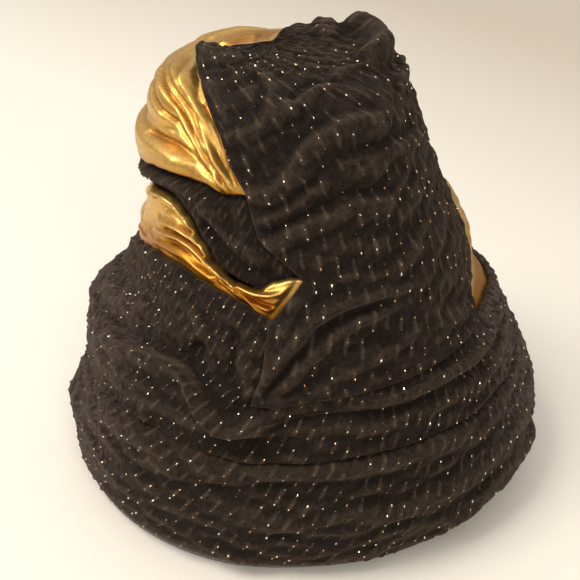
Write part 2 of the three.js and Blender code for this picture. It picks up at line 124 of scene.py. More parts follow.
def lay_grid(name, points):
    """A grid of points as a cloth: the first index goes round the hat, the second along the cloth."""
    bpy.ops.object.select_all(action="DESELECT")
    columns, rows = points.shape[0] - 1, points.shape[1] - 1
    bpy.ops.mesh.primitive_grid_add(x_subdivisions=columns, y_subdivisions=rows, size=1)
    piece = bpy.context.object
    piece.name = piece.data.name = name
    piece.data.vertices.foreach_set("co", (points.transpose(1, 0, 2) / 1000).ravel())
    return piece


def sew_up(piece):
    """Joins the edges that meet, so that the cloth closes round its own thickness."""
    bpy.ops.object.select_all(action="DESELECT")
    piece.select_set(True)
    bpy.context.view_layer.objects.active = piece
    bpy.ops.object.mode_set(mode="EDIT")
    bpy.ops.mesh.select_all(action="SELECT")
    bpy.ops.mesh.remove_doubles(threshold=1e-6)
    bpy.ops.object.mode_set(mode="OBJECT")
    bpy.ops.object.shade_smooth()
    bpy.ops.object.select_all(action="DESELECT")


def linear(colour):
    """An sRGB hex colour as linear red, green, blue and alpha."""
    parts = [int(colour[i:i + 2], 16) / 255 for i in (1, 3, 5)]
    return [c / 12.92 if c <= 0.04045 else ((c + 0.055) / 1.055) ** 2.4 for c in parts] + [1.0]


def start_material(name):
    made = bpy.data.materials.new(name)
    made.use_nodes = True
    made.node_tree.nodes.clear()
    return made


def add_node(material, kind, inputs=None, **settings):
    """Adds a node; inputs maps an input's name or number to a socket to link or a value to set."""
    made = material.node_tree.nodes.new(kind)
    for key, value in settings.items():
        setattr(made, key, value)
    for key, value in (inputs or {}).items():
        if isinstance(value, bpy.types.NodeSocket):
            material.node_tree.links.new(value, made.inputs[key])
        else:
            made.inputs[key].default_value = value
    return made


HEAD_HALF_WIDTH, HEAD_HALF_LENGTH = 84, 97
FACING_TOP = 2.4
HEM_COLUMNS = 541
HEM_FULLNESS = 2.2
# How much of the band shows below the velvet at each turn.
HEM_SHOWS = [
    (-180, 3), (-120, 5), (-90, 6), (-60, 6.5), (-30, 6), (-5, 5), (20, 3), (45, 2), (90, 2), (140, 2.5),
]


def up_for_height(height):
    """The up at a height near the foot."""
    ups = np.linspace(0, 3, 301)
    return np.interp(height, form_value(HEIGHT, ups), ups)


# The hem stands out a little at the left and the front left, over the fullness of the lowest turn.
hem_turns = np.linspace(-180, 180, HEM_COLUMNS)
hem_shows = edge_at(HEM_SHOWS, hem_turns)
hem_bulge = HEM_FULLNESS * step(hem_turns, -115, -80) * (1 - step(hem_turns, -25, 5))


def at_opening(inset, z):
    """A row of the facing round the head opening."""
    way = np.radians(hem_turns)
    return np.stack([(HEAD_HALF_WIDTH + inset) * np.sin(way),
                     -(HEAD_HALF_LENGTH + inset) * np.cos(way), np.full_like(way, z)], -1)


def at_foot(off, z):
    """A row of the band at the foot of the form."""
    row = on_form(hem_turns, 0) + (off + hem_bulge)[:, None] * outward(hem_turns, 0)
    row[:, 2] = z
    return row


def at_wall(height, off):
    """A row of the band up the wall of the form."""
    up = up_for_height(height)
    return on_form(hem_turns, up) + (off + hem_bulge)[:, None] * outward(hem_turns, up)


# From the facing's underside out to the foot, up the wall, down inside it and in over the facing.
hem_rows = [at_opening(1.0, 0)]
for f in (0.25, 0.5, 0.75):
    hem_rows.append(at_opening(1.0, 0) * (1 - f) + at_foot(-2.6, 0) * f)
hem_rows += [at_foot(-2.6, 0), at_foot(-1.6, 0.1), at_foot(-1.0, 0.5)]
for f in (0.2, 0.35, 0.5, 0.65, 0.8, 0.95):
    hem_rows.append(at_wall(hem_shows * f, -0.9 + 0.3 * math.sin(math.pi * f)))
hem_rows += [at_wall(hem_shows, -1.6), at_wall(hem_shows + 0.5, -3.4), at_wall(hem_shows + 5, -3.8)]
hem_rows += [at_wall(hem_shows + 9, -3.9), at_wall(hem_shows + 9, -5.4), at_wall(hem_shows + 3, -5.6)]
hem_rows.append(at_foot(-5.6, FACING_TOP))
for f in (0.33, 0.66, 1):
    hem_rows.append(at_foot(-5.6, FACING_TOP) * (1 - f) + at_opening(0.6, FACING_TOP) * f)
hem_rows += [at_opening(0.1, 1.9), at_opening(0, 1.2), at_opening(0.3, 0.4), hem_rows[0]]
hem_band = lay_grid("hem_band_cloth", np.stack(hem_rows, 1))
sew_up(hem_band)

# Ribbed cotton, faded grey-violet: fine ribs 0.9 mm apart across its length, quite matt. The ribs are
# too fine to show as geometry.
ribbed_cotton = start_material("ribbed_cotton")
place = add_node(ribbed_cotton, "ShaderNodeTexCoord").outputs["Object"]
fibre = add_node(ribbed_cotton, "ShaderNodeTexNoise", {"Vector": place, "Scale": 1100.0, "Detail": 3.0})
cloud = add_node(ribbed_cotton, "ShaderNodeTexNoise", {"Vector": place, "Scale": 45.0, "Detail": 3.0})
tone = add_node(ribbed_cotton, "ShaderNodeMix", {
    0: fibre.outputs["Fac"], 6: linear("#3d373b"), 7: linear("#655d62")}, data_type="RGBA")
tone = add_node(ribbed_cotton, "ShaderNodeMix", {
    0: cloud.outputs["Fac"], 6: tone.outputs[2], 7: linear("#494247")}, data_type="RGBA")
rib = add_node(ribbed_cotton, "ShaderNodeBump", {
    "Height": fibre.outputs["Fac"], "Strength": 0.5, "Distance": 0.0004})
cloth = add_node(ribbed_cotton, "ShaderNodeBsdfPrincipled", {
    "Base Color": tone.outputs[2], "Roughness": 0.85, "Sheen Weight": 0.15, "Sheen Roughness": 0.5,
    "Normal": rib.outputs["Normal"]})
add_node(ribbed_cotton, "ShaderNodeOutputMaterial", {"Surface": cloth.outputs[0]})
hem_band.data.materials.append(ribbed_cotton)

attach(hem_band, "root")
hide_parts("hem_band")


# ---------------------------------------------------------------------------------------------------------
# Lower swag: a wide strip of black velvet with raised dashes, wound round the brim over a soft padding and
# caught down in loose folds. Its lower edge is rolled under the hem; the next turn laps over its upper edge.
# ---------------------------------------------------------------------------------------------------------

# The upper edge of the lower swag, where the next turn laps over it: turn and up.
SWAG_EDGE = [
    (-180, 3.4), (-140, 3.2), (-110, 2.9), (-92, 2.9), (-76, 3.27), (-64, 3.58), (-52, 3.77), (-40, 3.8),
    (-28, 3.7), (-16, 3.72), (-4, 3.8), (12, 3.88), (28, 3.88), (50, 3.83), (80, 3.8), (110, 3.7),
    (150, 3.5),
]
# Folds of the two swags: how high each stands, how far it spreads above and below its line, and the line.
SWAG_FOLDS = [
    (8.5, 2.4, 3.6, [(-80, 4.5), (-66, 4.76), (-54, 5.05), (-46, 5.24), (-40, 5.4), (-34, 5.38),
                     (-30, 5.08), (-26, 4.62), (-22, 4.36), (-19, 4.3), (-15, 4.42), (-11, 4.66),
                     (-6, 4.98), (0, 5.2), (8, 5.28)]),
    (4, 3.5, 6, [(-8, 4.85), (0, 5.12), (8, 5.22), (20, 5.15), (34, 5.05), (48, 5.0), (60, 5.02)]),
    (2, 3, 8, [(52, 4.8), (66, 4.8), (80, 4.75), (96, 4.7), (120, 4.9)]),
    (-7, 4, 2.5, [(-104, 4.6), (-82, 4.98), (-70, 5.24), (-58, 5.45), (-46, 5.68), (-36, 5.74),
                  (-30, 5.44), (-25, 5.04), (-21, 4.8), (-17, 4.8), (-12, 5.04), (-7, 5.36)]),
    (-5, 8, 7, [(-36, 6.3), (-29, 5.8), (-22, 5.4), (-15, 5.3)]),
    (5.5, 9, 8, [(-118, 4.4), (-98, 4.55), (-84, 5.0), (-70, 5.6), (-55, 6.2)]),
    (6, 5, 5, [(-140, 5.5), (-118, 5.65), (-102, 5.9), (-90, 6.15), (-76, 6.6)]),
    (-6.5, 9, 9, [(80, 5.1), (95, 4.98), (110, 4.95), (132, 5.1)]),
    (3, 5, 6, [(-112, 3.9), (-92, 4.1), (-76, 4.2), (-62, 4.4), (-50, 4.7)]),
    (-3.4, 2, 2.6, [(-14, 4.25), (-4, 4.7), (6, 4.86), (16, 4.81), (24, 4.74), (32, 4.79), (40, 4.85),
                    (50, 4.79), (66, 4.8), (84, 4.75), (100, 4.7)]),
    (-7, 5, 3, [(-44, 3.88), (-36, 3.84), (-28, 3.8), (-21, 3.86), (-15, 3.96), (-8, 4.06), (4, 4.14)]),
    (6.5, 9, 12, [(-104, 0.9), (-78, 0.85), (-54, 0.8), (-30, 0.8), (-6, 0.85)]),
    (2.5, 9, 12, [(-22, 0.85), (0, 0.85), (22, 0.9)]),
    (-4, 4, 2.5, [(-106, 2.9), (-92, 3.0), (-76, 3.34), (-64, 3.66), (-54, 3.84), (-42, 3.86)]),
    (2, 3, 3, [(-6, 4.4), (6, 4.52), (20, 4.4), (36, 4.45), (52, 4.4), (70, 4.3)]),
    (3, 4, 6, [(-32, 3.3), (-20, 3.45), (-5, 3.58), (10, 3.6), (28, 3.6), (50, 3.55)]),
    (3.5, 5, 8, [(-98, 2.0), (-80, 2.3), (-66, 2.8), (-52, 3.3), (-42, 3.4), (-34, 3.1), (-29, 2.7)]),
    (-1.8, 2.5, 3, [(-62, 2.1), (-46, 2.5), (-32, 2.78), (-25, 2.85), (-18, 2.97), (-11, 3.14),
                    (-1, 3.27), (10, 3.3), (24, 3.2), (40, 3.15)]),
    (-1.4, 3, 3.5, [(8, 2.8), (22, 2.72), (36, 2.85), (54, 3.0), (74, 3.0), (96, 2.9)]),
    (1.4, 4, 7, [(-18, 2.4), (0, 2.5), (20, 2.4), (44, 2.5), (66, 2.6), (88, 2.5)]),
    (-1.2, 3, 3.5, [(-44, 1.9), (-24, 1.85), (-4, 1.95), (16, 1.9), (36, 2.0), (58, 2.1), (90, 2.1)]),
    (4, 7, 12, [(34, 1.3), (48, 1.65), (62, 1.8), (78, 1.7)]),
    (3, 2.5, 3, [(-13, 6.7), (-16, 6.2), (-16, 5.7), (-14, 5.2)]),
    (-2.4, 2.5, 3, [(-20, 6.8), (-21, 6.3), (-21, 5.8), (-21, 5.3)]),
    (2.2, 2.5, 4, [(-36, 6.9), (-31, 6.4), (-28, 5.9), (-26, 5.4)]),
    (-3, 5, 5, [(-180, 4.6), (-160, 4.7), (-140, 4.9), (-120, 4.7)]),
    (-3, 5, 5, [(110, 3.9), (135, 4.1), (160, 4.0), (180, 3.9)]),
    (3, 7, 9, [(120, 4.6), (150, 4.8), (180, 4.3), (210, 4.1), (240, 4.0)]),
    (-2.5, 5, 5, [(100, 2.2), (125, 2.0), (150, 2.4), (180, 2.6), (210, 2.4), (250, 2.2)]),
    (2.5, 6, 8, [(110, 2.9), (140, 2.8), (170, 3.0), (200, 2.9), (235, 2.7)]),
]
# The share of a fold's length over which it dies away at each end.
FADE = 0.15


def fold_points(line):
    """The line of a fold as close points on the form."""
    knots = np.array([line[0]] + list(line) + [line[-1]], float)
    f = np.arange(6)[:, None] / 6
    runs = [through(*knots[i:i + 4], f) for i in range(len(line) - 1)]
    places = np.concatenate(runs + [knots[-1:]])
    return on_form(places[:, 0], places[:, 1])


def relief(folds, turn, up):
    """How far the folds stand out from the form, at every place of a cloth."""
    here, normal = on_form(turn, up), outward(turn, up)
    total = np.zeros(here.shape[:-1])
    for high, above, below, line in folds:
        points = fold_points(line)
        margin = 2.6 * max(above, below)
        near = np.all((here > points.min(0) - margin) & (here < points.max(0) + margin), axis=-1)
        spots, ways = here[near], normal[near]
        best = np.full(len(spots), 1e9)
        side, along = np.zeros(len(spots)), np.zeros(len(spots))
        last = len(points) - 1
        for i in range(last):
            run = points[i + 1] - points[i]
            to = spots - points[i]
            f = np.clip(to @ run / max(run @ run, 1e-9), 0, 1)
            away = to - f[:, None] * run
            distance = (away ** 2).sum(1)
            closer = distance < best
            best[closer] = distance[closer]
            along[closer] = ((i + f) / last)[closer]
            side[closer] = (away * np.cross(ways, run)).sum(1)[closer]
        spread = np.where(side > 0, above, below)
        ends = step(along, 0, FADE) * step(1 - along, 0, FADE)
        total[near] += high * ends * np.exp(-best / spread ** 2)
    return total


# The form's reach at its waist, which sets how long the waves of the draping are.
MIDDLE_REACH = 105


def climb(up):
    """How far an up is from the foot, measured up the right side of the form, in millimetres."""
    rows = np.append(0, np.cumsum(np.hypot(np.diff(FORM[:, HEIGHT]), np.diff(FORM[:, RIGHT]))))
    return np.interp(up, np.arange(TIP + 1), rows)


def ripple(turn, up, seed, height, across=14.0, along=70.0):
    """Slight uneven draping: waves that are short up the hat and long round it, in millimetres."""
    chance = np.random.default_rng(seed)
    rise = climb(up)
    total = np.zeros(np.broadcast(turn, up).shape)
    for k in range(9):
        short = across * chance.uniform(0.7, 2.0)
        laps = max(1, round(MIDDLE_REACH * 2 * math.pi / (along * chance.uniform(0.6, 2.2))))
        laps *= chance.choice((-1, 1))
        wander = 3.0 * np.sin(np.radians(turn) * 3 + chance.uniform(0, 6.3))
        total += np.sin((rise + wander) * 2 * math.pi / short + np.radians(turn) * laps
                        + chance.uniform(0, 6.3)) / 4
    return total * height


# Where the rows of a rolled edge lie, as shares of the roll's radius in from the edge.
ROLL_ROWS = 1 - np.cos(np.radians([0, 25, 45, 65]))


def along_rows(turn_at, u, low, high, spacing, roll, roll_top):
    """Even rows across a cloth between its two edges, closer together where an edge is rolled."""
    ups = low + (high - low) * np.linspace(0, 1, 61)
    line = on_form(turn_at(u, ups), ups)
    length = np.linalg.norm(np.diff(line, axis=1), axis=-1)
    length = np.concatenate([np.zeros((len(length), 1)), np.cumsum(length, axis=1)], axis=1)
    whole = length[:, -1:]
    curl = roll * ROLL_ROWS[None, :]
    top = roll if roll_top else 0
    count = int(np.ceil((whole.max() - roll - top) / spacing))
    distance = [np.repeat(curl, len(whole), 0), roll + (whole - roll - top) * np.linspace(0, 1, count + 1)]
    if roll_top:
        distance.append(whole - curl[:, ::-1])
    distance = np.concatenate(distance, axis=1)
    up = np.stack([np.interp(d, ls, us) for d, ls, us in zip(distance, length, ups)])
    to_edge = np.minimum(distance, whole - distance) if roll_top else distance
    return turn_at(u, up), up, round_edge(to_edge, roll)


def round_edge(distance, roll):
    """How far a rolled edge has rounded out at a distance in from it: 0 at the edge, 1 past the roll."""
    return np.sqrt(np.clip(1 - (1 - np.clip(distance / roll, 0, 1)) ** 2, 0, 1))


def ring_turn(u, up):
    """The turn at a share u of the way round a closed ring."""
    return -180 + 360 * u + 0 * up


# How far a place stands proud when it counts as a full crest.
FULL_RELIEF = 0.9


def stand_out(drape, reach=6):
    """How far each place stands proud of the cloth round it: -1 in a valley, 1 on a crest."""
    soft = drape
    for axis, mode in ((0, "wrap"), (1, "edge")):
        pads = [(0, 0), (0, 0)]
        pads[axis] = (reach + 1, reach)
        total = np.cumsum(np.pad(soft, pads, mode=mode), axis=axis)
        count = soft.shape[axis]
        soft = (total.take(np.arange(count) + 2 * reach + 1, axis)
                - total.take(np.arange(count), axis)) / (2 * reach + 1)
    return np.clip((drape - soft) / FULL_RELIEF, -1, 1)


def crest_and_shade_of(drape):
    """The crests and valleys of a velvet's folds, small ones and broad ones together: crests paler, partly
    rubbed pile and partly painted highlight, and valleys and pockets darker as painted shade.
    """
    return 0.5 * stand_out(drape) + 0.7 * stand_out(drape, 16)


def velvet_marks(s, t, raised_pile, nap_and_sheen, crest_and_shade):
    return {"weave": np.stack([s, t, 0 * s], -1), "dash": raised_pile, "nap_and_sheen": nap_and_sheen, "crest_and_shade": crest_and_shade}


def wrap(name, turn, up, off, back, round_off, back_rows, marks):
    """A cloth with its face at off and its back at back, closed round its thickness, and with its marks.

    Without rows of its own for the back, the back has the face's rows."""
    shift = back + (off - back) * round_off
    face = on_form(turn, up) + shift[..., None] * outward(turn, up)
    if back_rows:
        f = np.linspace(1, 0, back_rows + 2)[1:-1]
        back_up = up[:, :1] + (up[:, -1:] - up[:, :1]) * f
        back_turn = np.repeat(turn[:, :1], back_rows, 1)
        back_off = np.stack([np.interp(b, us, bs) for b, us, bs in zip(back_up, up, back)])
    else:
        back_up, back_turn, back_off = up[:, ::-1], turn[:, ::-1], back[:, ::-1]
    behind = on_form(back_turn, back_up) + back_off[..., None] * outward(back_turn, back_up)
    piece = lay_grid(name, np.concatenate([face, behind, face[:, :1]], axis=1))
    for key, value in marks.items():
        kind = "FLOAT_VECTOR" if value.ndim == 3 else "FLOAT"
        mark = piece.data.attributes.new(key, kind, "POINT")
        hidden = np.repeat(value[:, -1:], back_up.shape[1], 1)
        whole = np.concatenate([value, hidden, value[:, :1]], axis=1)
        whole = whole.transpose(1, 0, 2) if value.ndim == 3 else whole.T
        mark.data.foreach_set("vector" if value.ndim == 3 else "value", np.ascontiguousarray(whole).ravel())
    sew_up(piece)
    return piece, face


# The dashes run along the cloth's warp. They lean more where the strip was pulled round on the bias: turn
# and lean in degrees. The weave of the swags is laid out at one reach, from one height on the form.
LEAN = [
    (-180, 18), (-150, 28), (-120, 42), (-95, 50), (-80, 50), (-60, 46), (-40, 38), (-20, 32), (0, 28),
    (30, 22), (60, 12), (90, 6), (130, 8),
]
SWAG_REACH, SWAG_WEAVE_START = 117, 55
DASH_PITCH, DASH_ROWS = 6.9, 12.2
DASH_LENGTH, DASH_WIDTH, DASH_HEIGHT = 8.6, 2.4, 0.8


def swag_weave(turn, up):
    """Where a place of the swags lies on the cloth: across the dashes and along them, in millimetres."""
    turns = np.linspace(-180, 180, 721)
    lean = np.radians(edge_at(LEAN, turns))
    pace = np.radians(0.5) * SWAG_REACH
    across = np.cumsum(np.cos(lean)) * pace
    along = np.cumsum(np.sin(lean)) * pace
    rise = climb(up) - SWAG_WEAVE_START
    tilt = np.interp(turn, turns, lean)
    return (np.interp(turn, turns, across) - rise * np.sin(tilt),
            np.interp(turn, turns, along) + rise * np.cos(tilt))


def draw_lots(row, column, which):
    """A repeatable chance from 0 to 1 for each dash."""
    lot = np.sin(row * 127.1 + column * 311.7 + which * 74.7) * 43758.5453
    return lot - np.floor(lot)


def dash_middle(row, column):
    """Where the middle of a dash lies on the cloth. Every other row is set half a pitch over."""
    across = (column + 0.5 * (row % 2)) * DASH_PITCH + 1.0 * (draw_lots(row, column, 1) - 0.5)
    along = row * DASH_ROWS + 1.6 * (draw_lots(row, column, 2) - 0.5)
    return across, along


def dashes(s, t):
    """How much of a raised dash stands at each place of the cloth, from 0 to 1."""
    row = np.round(t / DASH_ROWS)
    column = np.round(s / DASH_PITCH - 0.5 * (row % 2))
    across, along = dash_middle(row, column)
    half = DASH_LENGTH / 2 * (0.75 + 0.5 * draw_lots(row, column, 3))
    past_end = np.maximum(np.abs(t - along) - half + DASH_WIDTH / 2, 0)
    d = np.hypot(s - across, past_end) / (DASH_WIDTH / 2)
    return np.clip(1 - d * d, 0, 1) * (0.45 + 0.65 * draw_lots(row, column, 4))


def at_seam(turn):
    """The pile is cut away where the two ends of a strip are sewn together at the back."""
    return 1 - step(np.abs(turn), 178.6, 179.7)


# Metal threads cross most dashes twice, and show as small bright flecks. All are kept for one piece. A fleck
# is left out where the cloth has no point near enough.
FLECK_GAP, FLECK_SEARCH = 4.6, 1.6
fleck_spots, fleck_ways, fleck_runs = [], [], []


def set_flecks(face, s, t, bright, lot):
    """Finds the places of the flecks on a face, by solving its weave for the middle of each dash."""
    row_low, row_high = int(t.min() / DASH_ROWS) - 1, int(t.max() / DASH_ROWS) + 1
    column_low, column_high = int(s.min() / DASH_PITCH) - 1, int(s.max() / DASH_PITCH) + 1
    row, column = np.meshgrid(np.arange(row_low, row_high), np.arange(column_low, column_high))
    row, column = row.ravel().astype(float), column.ravel().astype(float)
    across, along = dash_middle(row, column)
    tree = kdtree.KDTree(s.size)
    for i, (a, b) in enumerate(zip(s.ravel(), t.ravel())):
        tree.insert((a, b, 0), i)
    tree.balance()
    face_u, face_v = np.gradient(face, axis=0), np.gradient(face, axis=1)
    (s_u, s_v), (t_u, t_v) = np.gradient(s), np.gradient(t)
    chance = np.random.default_rng(lot)
    for a, b in zip(across, along):
        count = chance.choice((0, 1, 2, 2, 2, 2, 3))
        for k in range(count):
            spot_s = a + chance.normal(0, 0.25)
            spot_t = b + FLECK_GAP * (k - (count - 1) / 2) + chance.normal(0, 0.3)
            keep = chance.uniform()
            tint = chance.uniform()
            _, i, distance = tree.find((spot_s, spot_t, 0))
            if distance > FLECK_SEARCH or keep > bright.ravel()[i]:
                continue
            j, m = divmod(i, s.shape[1])
            size = s_u[j, m] * t_v[j, m] - s_v[j, m] * t_u[j, m]
            if abs(size) < 1e-6:
                continue
            ds, dt = spot_s - s[j, m], spot_t - t[j, m]
            du = (ds * t_v[j, m] - dt * s_v[j, m]) / size
            dv = (dt * s_u[j, m] - ds * t_u[j, m]) / size
            spot = face[j, m] + np.clip(du, -1, 1) * face_u[j, m] + np.clip(dv, -1, 1) * face_v[j, m]
            way = np.cross(face_u[j, m], face_v[j, m])
            along_cloth = face_u[j, m] * -s_v[j, m] + face_v[j, m] * s_u[j, m]
            fleck_spots.append(spot)
            fleck_ways.append(way / max(np.linalg.norm(way), 1e-9))
            fleck_runs.append((*(along_cloth / max(np.linalg.norm(along_cloth), 1e-9)), tint))


# Woven rayon velvet on a black ground, its pile pressed flat between raised dashes: a warm near-black,
# dull, with a bloom where the pile turns away. Its tufts are 0.8 mm wide and stand in clumps of about
# 3 mm. Fine streaks, 1 mm wide and 4 mm long, run along the dashes. It is paler on the crests, partly as
# rubbed pile and partly as painted highlight, and darker in the valleys and pockets of its folds as painted
# shade. Where the pile is brushed up it turns grey, and that grey also carries painted sheen.
velvet = start_material("sculpted_rayon_velvet")
place = add_node(velvet, "ShaderNodeTexCoord").outputs["Object"]
weave = add_node(velvet, "ShaderNodeAttribute", attribute_name="weave")
marks = {key: add_node(velvet, "ShaderNodeAttribute", attribute_name=key).outputs["Fac"]
         for key in ("dash", "nap_and_sheen", "crest_and_shade")}
tuft = add_node(velvet, "ShaderNodeTexNoise", {"Vector": place, "Scale": 1250.0, "Detail": 3.0,
                                               "Roughness": 0.6})
clump = add_node(velvet, "ShaderNodeTexNoise", {"Vector": place, "Scale": 330.0, "Detail": 4.0,
                                                "Roughness": 0.7})
cloud = add_node(velvet, "ShaderNodeTexNoise", {"Vector": place, "Scale": 70.0, "Detail": 3.0,
                                                "Roughness": 0.6})
drawn = add_node(velvet, "ShaderNodeMapping", {"Vector": weave.outputs["Vector"],
                                               "Scale": (0.9, 0.25, 1.0)})
streak = add_node(velvet, "ShaderNodeTexNoise", {"Vector": drawn.outputs[0], "Scale": 1.0, "Detail": 3.0,
                                                 "Roughness": 0.6})
light = None
# The last share lightens the crests of the folds, rubbed pile with painted highlight, and darkens their
# valleys and pockets as painted shade.
for value, share in ((tuft.outputs["Fac"], 0.3), (clump.outputs["Fac"], 0.4), (cloud.outputs["Fac"], 0.2),
                     (streak.outputs["Fac"], 0.2), (marks["dash"], 0.32), (marks["crest_and_shade"], 0.1)):
    light = add_node(velvet, "ShaderNodeMath", {0: value, 1: share, 2: light or -0.19},
                     operation="MULTIPLY_ADD").outputs[0]
tone = add_node(velvet, "ShaderNodeValToRGB", {"Fac": light})
tone.color_ramp.elements[0].color = linear("#0d0907")
tone.color_ramp.elements[1].color = linear("#57493e")
middle_tone = tone.color_ramp.elements.new(0.38)
middle_tone.color = linear("#1b140f")
# The grey of brushed-up pile, which is also painted sheen at the left and right of the brim.
patch = add_node(velvet, "ShaderNodeMapRange", {"Value": clump.outputs["Fac"], 1: 0.40, 2: 0.64})
brushed_and_sheen = add_node(velvet, "ShaderNodeMath", {0: marks["nap_and_sheen"], 1: patch.outputs[0]},
                   operation="MULTIPLY")
tone = add_node(velvet, "ShaderNodeMix", {
    0: brushed_and_sheen.outputs[0], 6: tone.outputs[0], 7: linear("#564b4b")}, data_type="RGBA")
pile = add_node(velvet, "ShaderNodeMath", {0: clump.outputs["Fac"], 1: 1.6, 2: tuft.outputs["Fac"]},
                operation="MULTIPLY_ADD")
pile = add_node(velvet, "ShaderNodeBump", {"Height": pile.outputs[0], "Strength": 0.75, "Distance": 0.0008})
cloth = add_node(velvet, "ShaderNodeBsdfPrincipled", {
    "Base Color": tone.outputs[2], "Roughness": 0.9, "Specular IOR Level": 0.15, "Sheen Weight": 0.22,
    "Sheen Roughness": 0.35, "Sheen Tint": linear("#c4a893"), "Normal": pile.outputs["Normal"]})
add_node(velvet, "ShaderNodeOutputMaterial", {"Surface": cloth.outputs[0]})


def nap_and_sheen_at(turn, up):
    """Where the pile is brushed up and grey, with painted sheen in the same grey: most at the left of the
    brim, a little at the right.
    """
    left = step(turn, -150, -110) * (1 - step(turn, -66, -40)) * (1 - step(up, 5.5, 7))
    right = step(turn, 44, 80) * (1 - step(turn, 130, 160))
    return np.clip(0.5 * left + 0.8 * right + 0.06, 0, 1)


def fleck_light(turn, up):
    """The share of the flecks that show: fewer where the pile is brushed over them."""
    left = step(turn, -95, -55)
    right = 1 - 0.6 * step(turn, 50, 75)
    return np.clip((0.25 + 0.75 * left) * right, 0, 1) + 0 * up


SWAG_COLUMNS, SWAG_SPACING, SWAG_RIPPLE = 761, 1.0, 0.85
# How deep the lower swag lies under the next turn, how far it may be drawn in, and where its back is.
LAPPED_DEPTH, LOWER_DEEPEST, LOWER_BACK = -5.2, -4.6, -2.8


def swag_drape(turn, up):
    return relief(SWAG_FOLDS, turn, up) + ripple(turn, up, 3, SWAG_RIPPLE, 10, 30)


swag_u = np.linspace(0, 1, SWAG_COLUMNS)[:, None]
swag_turns = ring_turn(swag_u, 0)
lower_foot = up_for_height(edge_at(HEM_SHOWS, swag_turns))
swag_edge = edge_at(SWAG_EDGE, swag_turns)
turn, up, round_off = along_rows(ring_turn, swag_u, lower_foot, swag_edge + 0.35, SWAG_SPACING, 3.0, True)
s, t = swag_weave(turn, up)
raised_pile = dashes(s, t) * at_seam(turn)
foot = step(up, lower_foot + 0.1, lower_foot + 1.0)
drape = swag_drape(turn, up)
off = np.maximum(drape * (0.3 + 0.7 * foot), -0.2 + LOWER_DEEPEST * foot) + DASH_HEIGHT * raised_pile
lapped = step(up, swag_edge - 0.2, swag_edge - 0.06)
off = off + (LAPPED_DEPTH - off) * lapped
back = LOWER_BACK + LOWER_DEEPEST * step(up, lower_foot + 0.9, lower_foot + 1.3)
lower_swag, face = wrap("lower_swag_velvet", turn, up, off, back, round_off, 8,
                        velvet_marks(s, t, raised_pile, nap_and_sheen_at(turn, up), crest_and_shade_of(drape)))
set_flecks(face, s, t, fleck_light(turn, up) * (lapped < 0.1) * (round_off > 0.9), 11)
lower_swag.data.materials.append(velvet)
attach(lower_swag, "root")
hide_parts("lower_swag")


# ---------------------------------------------------------------------------------------------------------
# Upper swag: the next turn of the same velvet, lapped over the lower one, drawn into a deep U-shaped roll at
# the front left and tucked up under the gold sash. It is stitched down through the folds.
# ---------------------------------------------------------------------------------------------------------

# The upper edge of the upper swag, over the gold sash: turn and up.
BASE_TOP = [
    (-180, 5.9), (-150, 5.8), (-120, 5.9), (-98, 6.3), (-78, 7.0), (-68, 7.25), (-60, 7.38), (-46, 7.46),
    (-36, 7.38), (-28, 7.3), (-20, 7.2), (-14, 7.03), (-8, 6.92), (-2, 6.6), (6, 6.1), (20, 5.95),
    (45, 5.95), (60, 5.7), (70, 5.62), (80, 5.52), (92, 5.3), (104, 5.2), (120, 5.4), (140, 5.8),
    (160, 6.0),
]
# The crown wrap: each up with the turns of the left and the right border there, and its lower edge by turn.
UP, LEFT_BORDER, RIGHT_BORDER = range(3)
CROWN_ENDS = np.array([
    (5.0, -14, 53), (5.5, -13, 58), (5.9, -12, 67), (6.4, -11.5, 78), (6.9, -11, 84), (7.15, -8, 87),
    (7.45, -4, 90), (7.7, -1, 93), (7.9, -5, 97), (8.4, -17, 112), (9.15, -23, 125), (9.6, -31, 132),
    (10.1, -37, 139), (10.9, -50, 148), (11.5, -61, 154), (11.8, -72, 156), (12.1, -97, 158),
    (12.4, -96, 160), (12.8, -90, 162), (14.0, -92, 165),
])
CROWN_LOW = np.array([(-14, 5.0), (-8, 5.0), (0, 5.2), (11, 5.32), (20, 5.4), (37, 5.46), (57, 5.5)])


def crown_end(side, up):
    return np.interp(up, CROWN_ENDS[:, UP], CROWN_ENDS[:, side])


def crown_low(turn):
    return np.interp(turn, CROWN_LOW[:, 0], CROWN_LOW[:, 1])


def under_borders(turn, up, inset=0):
    """Whether a place lies between the borders of the crown wrap."""
    return (turn > crown_end(LEFT_BORDER, up) + inset) & (turn < crown_end(RIGHT_BORDER, up) - inset)


def under_crown(turn, up, off, limit, margin, rise):
    """Keeps a cloth down beneath the crown wrap and for a margin past its borders, in millimetres."""
    reach = np.maximum(form_value(LEFT, up) + form_value(CENTRE, up), 10)
    inside = np.minimum(turn - crown_end(LEFT_BORDER, up), crown_end(RIGHT_BORDER, up) - turn)
    inside = inside * np.radians(1) * reach
    before_seam = 1 - step(np.abs(turn), 172, 179.7)
    cover = step(inside, -margin - rise, -margin) * (up > crown_low(turn) - 0.3) * before_seam
    return off + (np.minimum(off, limit) - off) * cover


# How deep the upper swag may be drawn in, how much less where it laps and at its upper edge, and its back.
UPPER_DEEPEST, UPPER_AT_LAP, UPPER_AT_TOP = -5.4, 3.0, 5.2
UPPER_BACK, UPPER_BACK_BELOW, UPPER_BACK_AT_TOP = -4.4, -3.2, 2.2

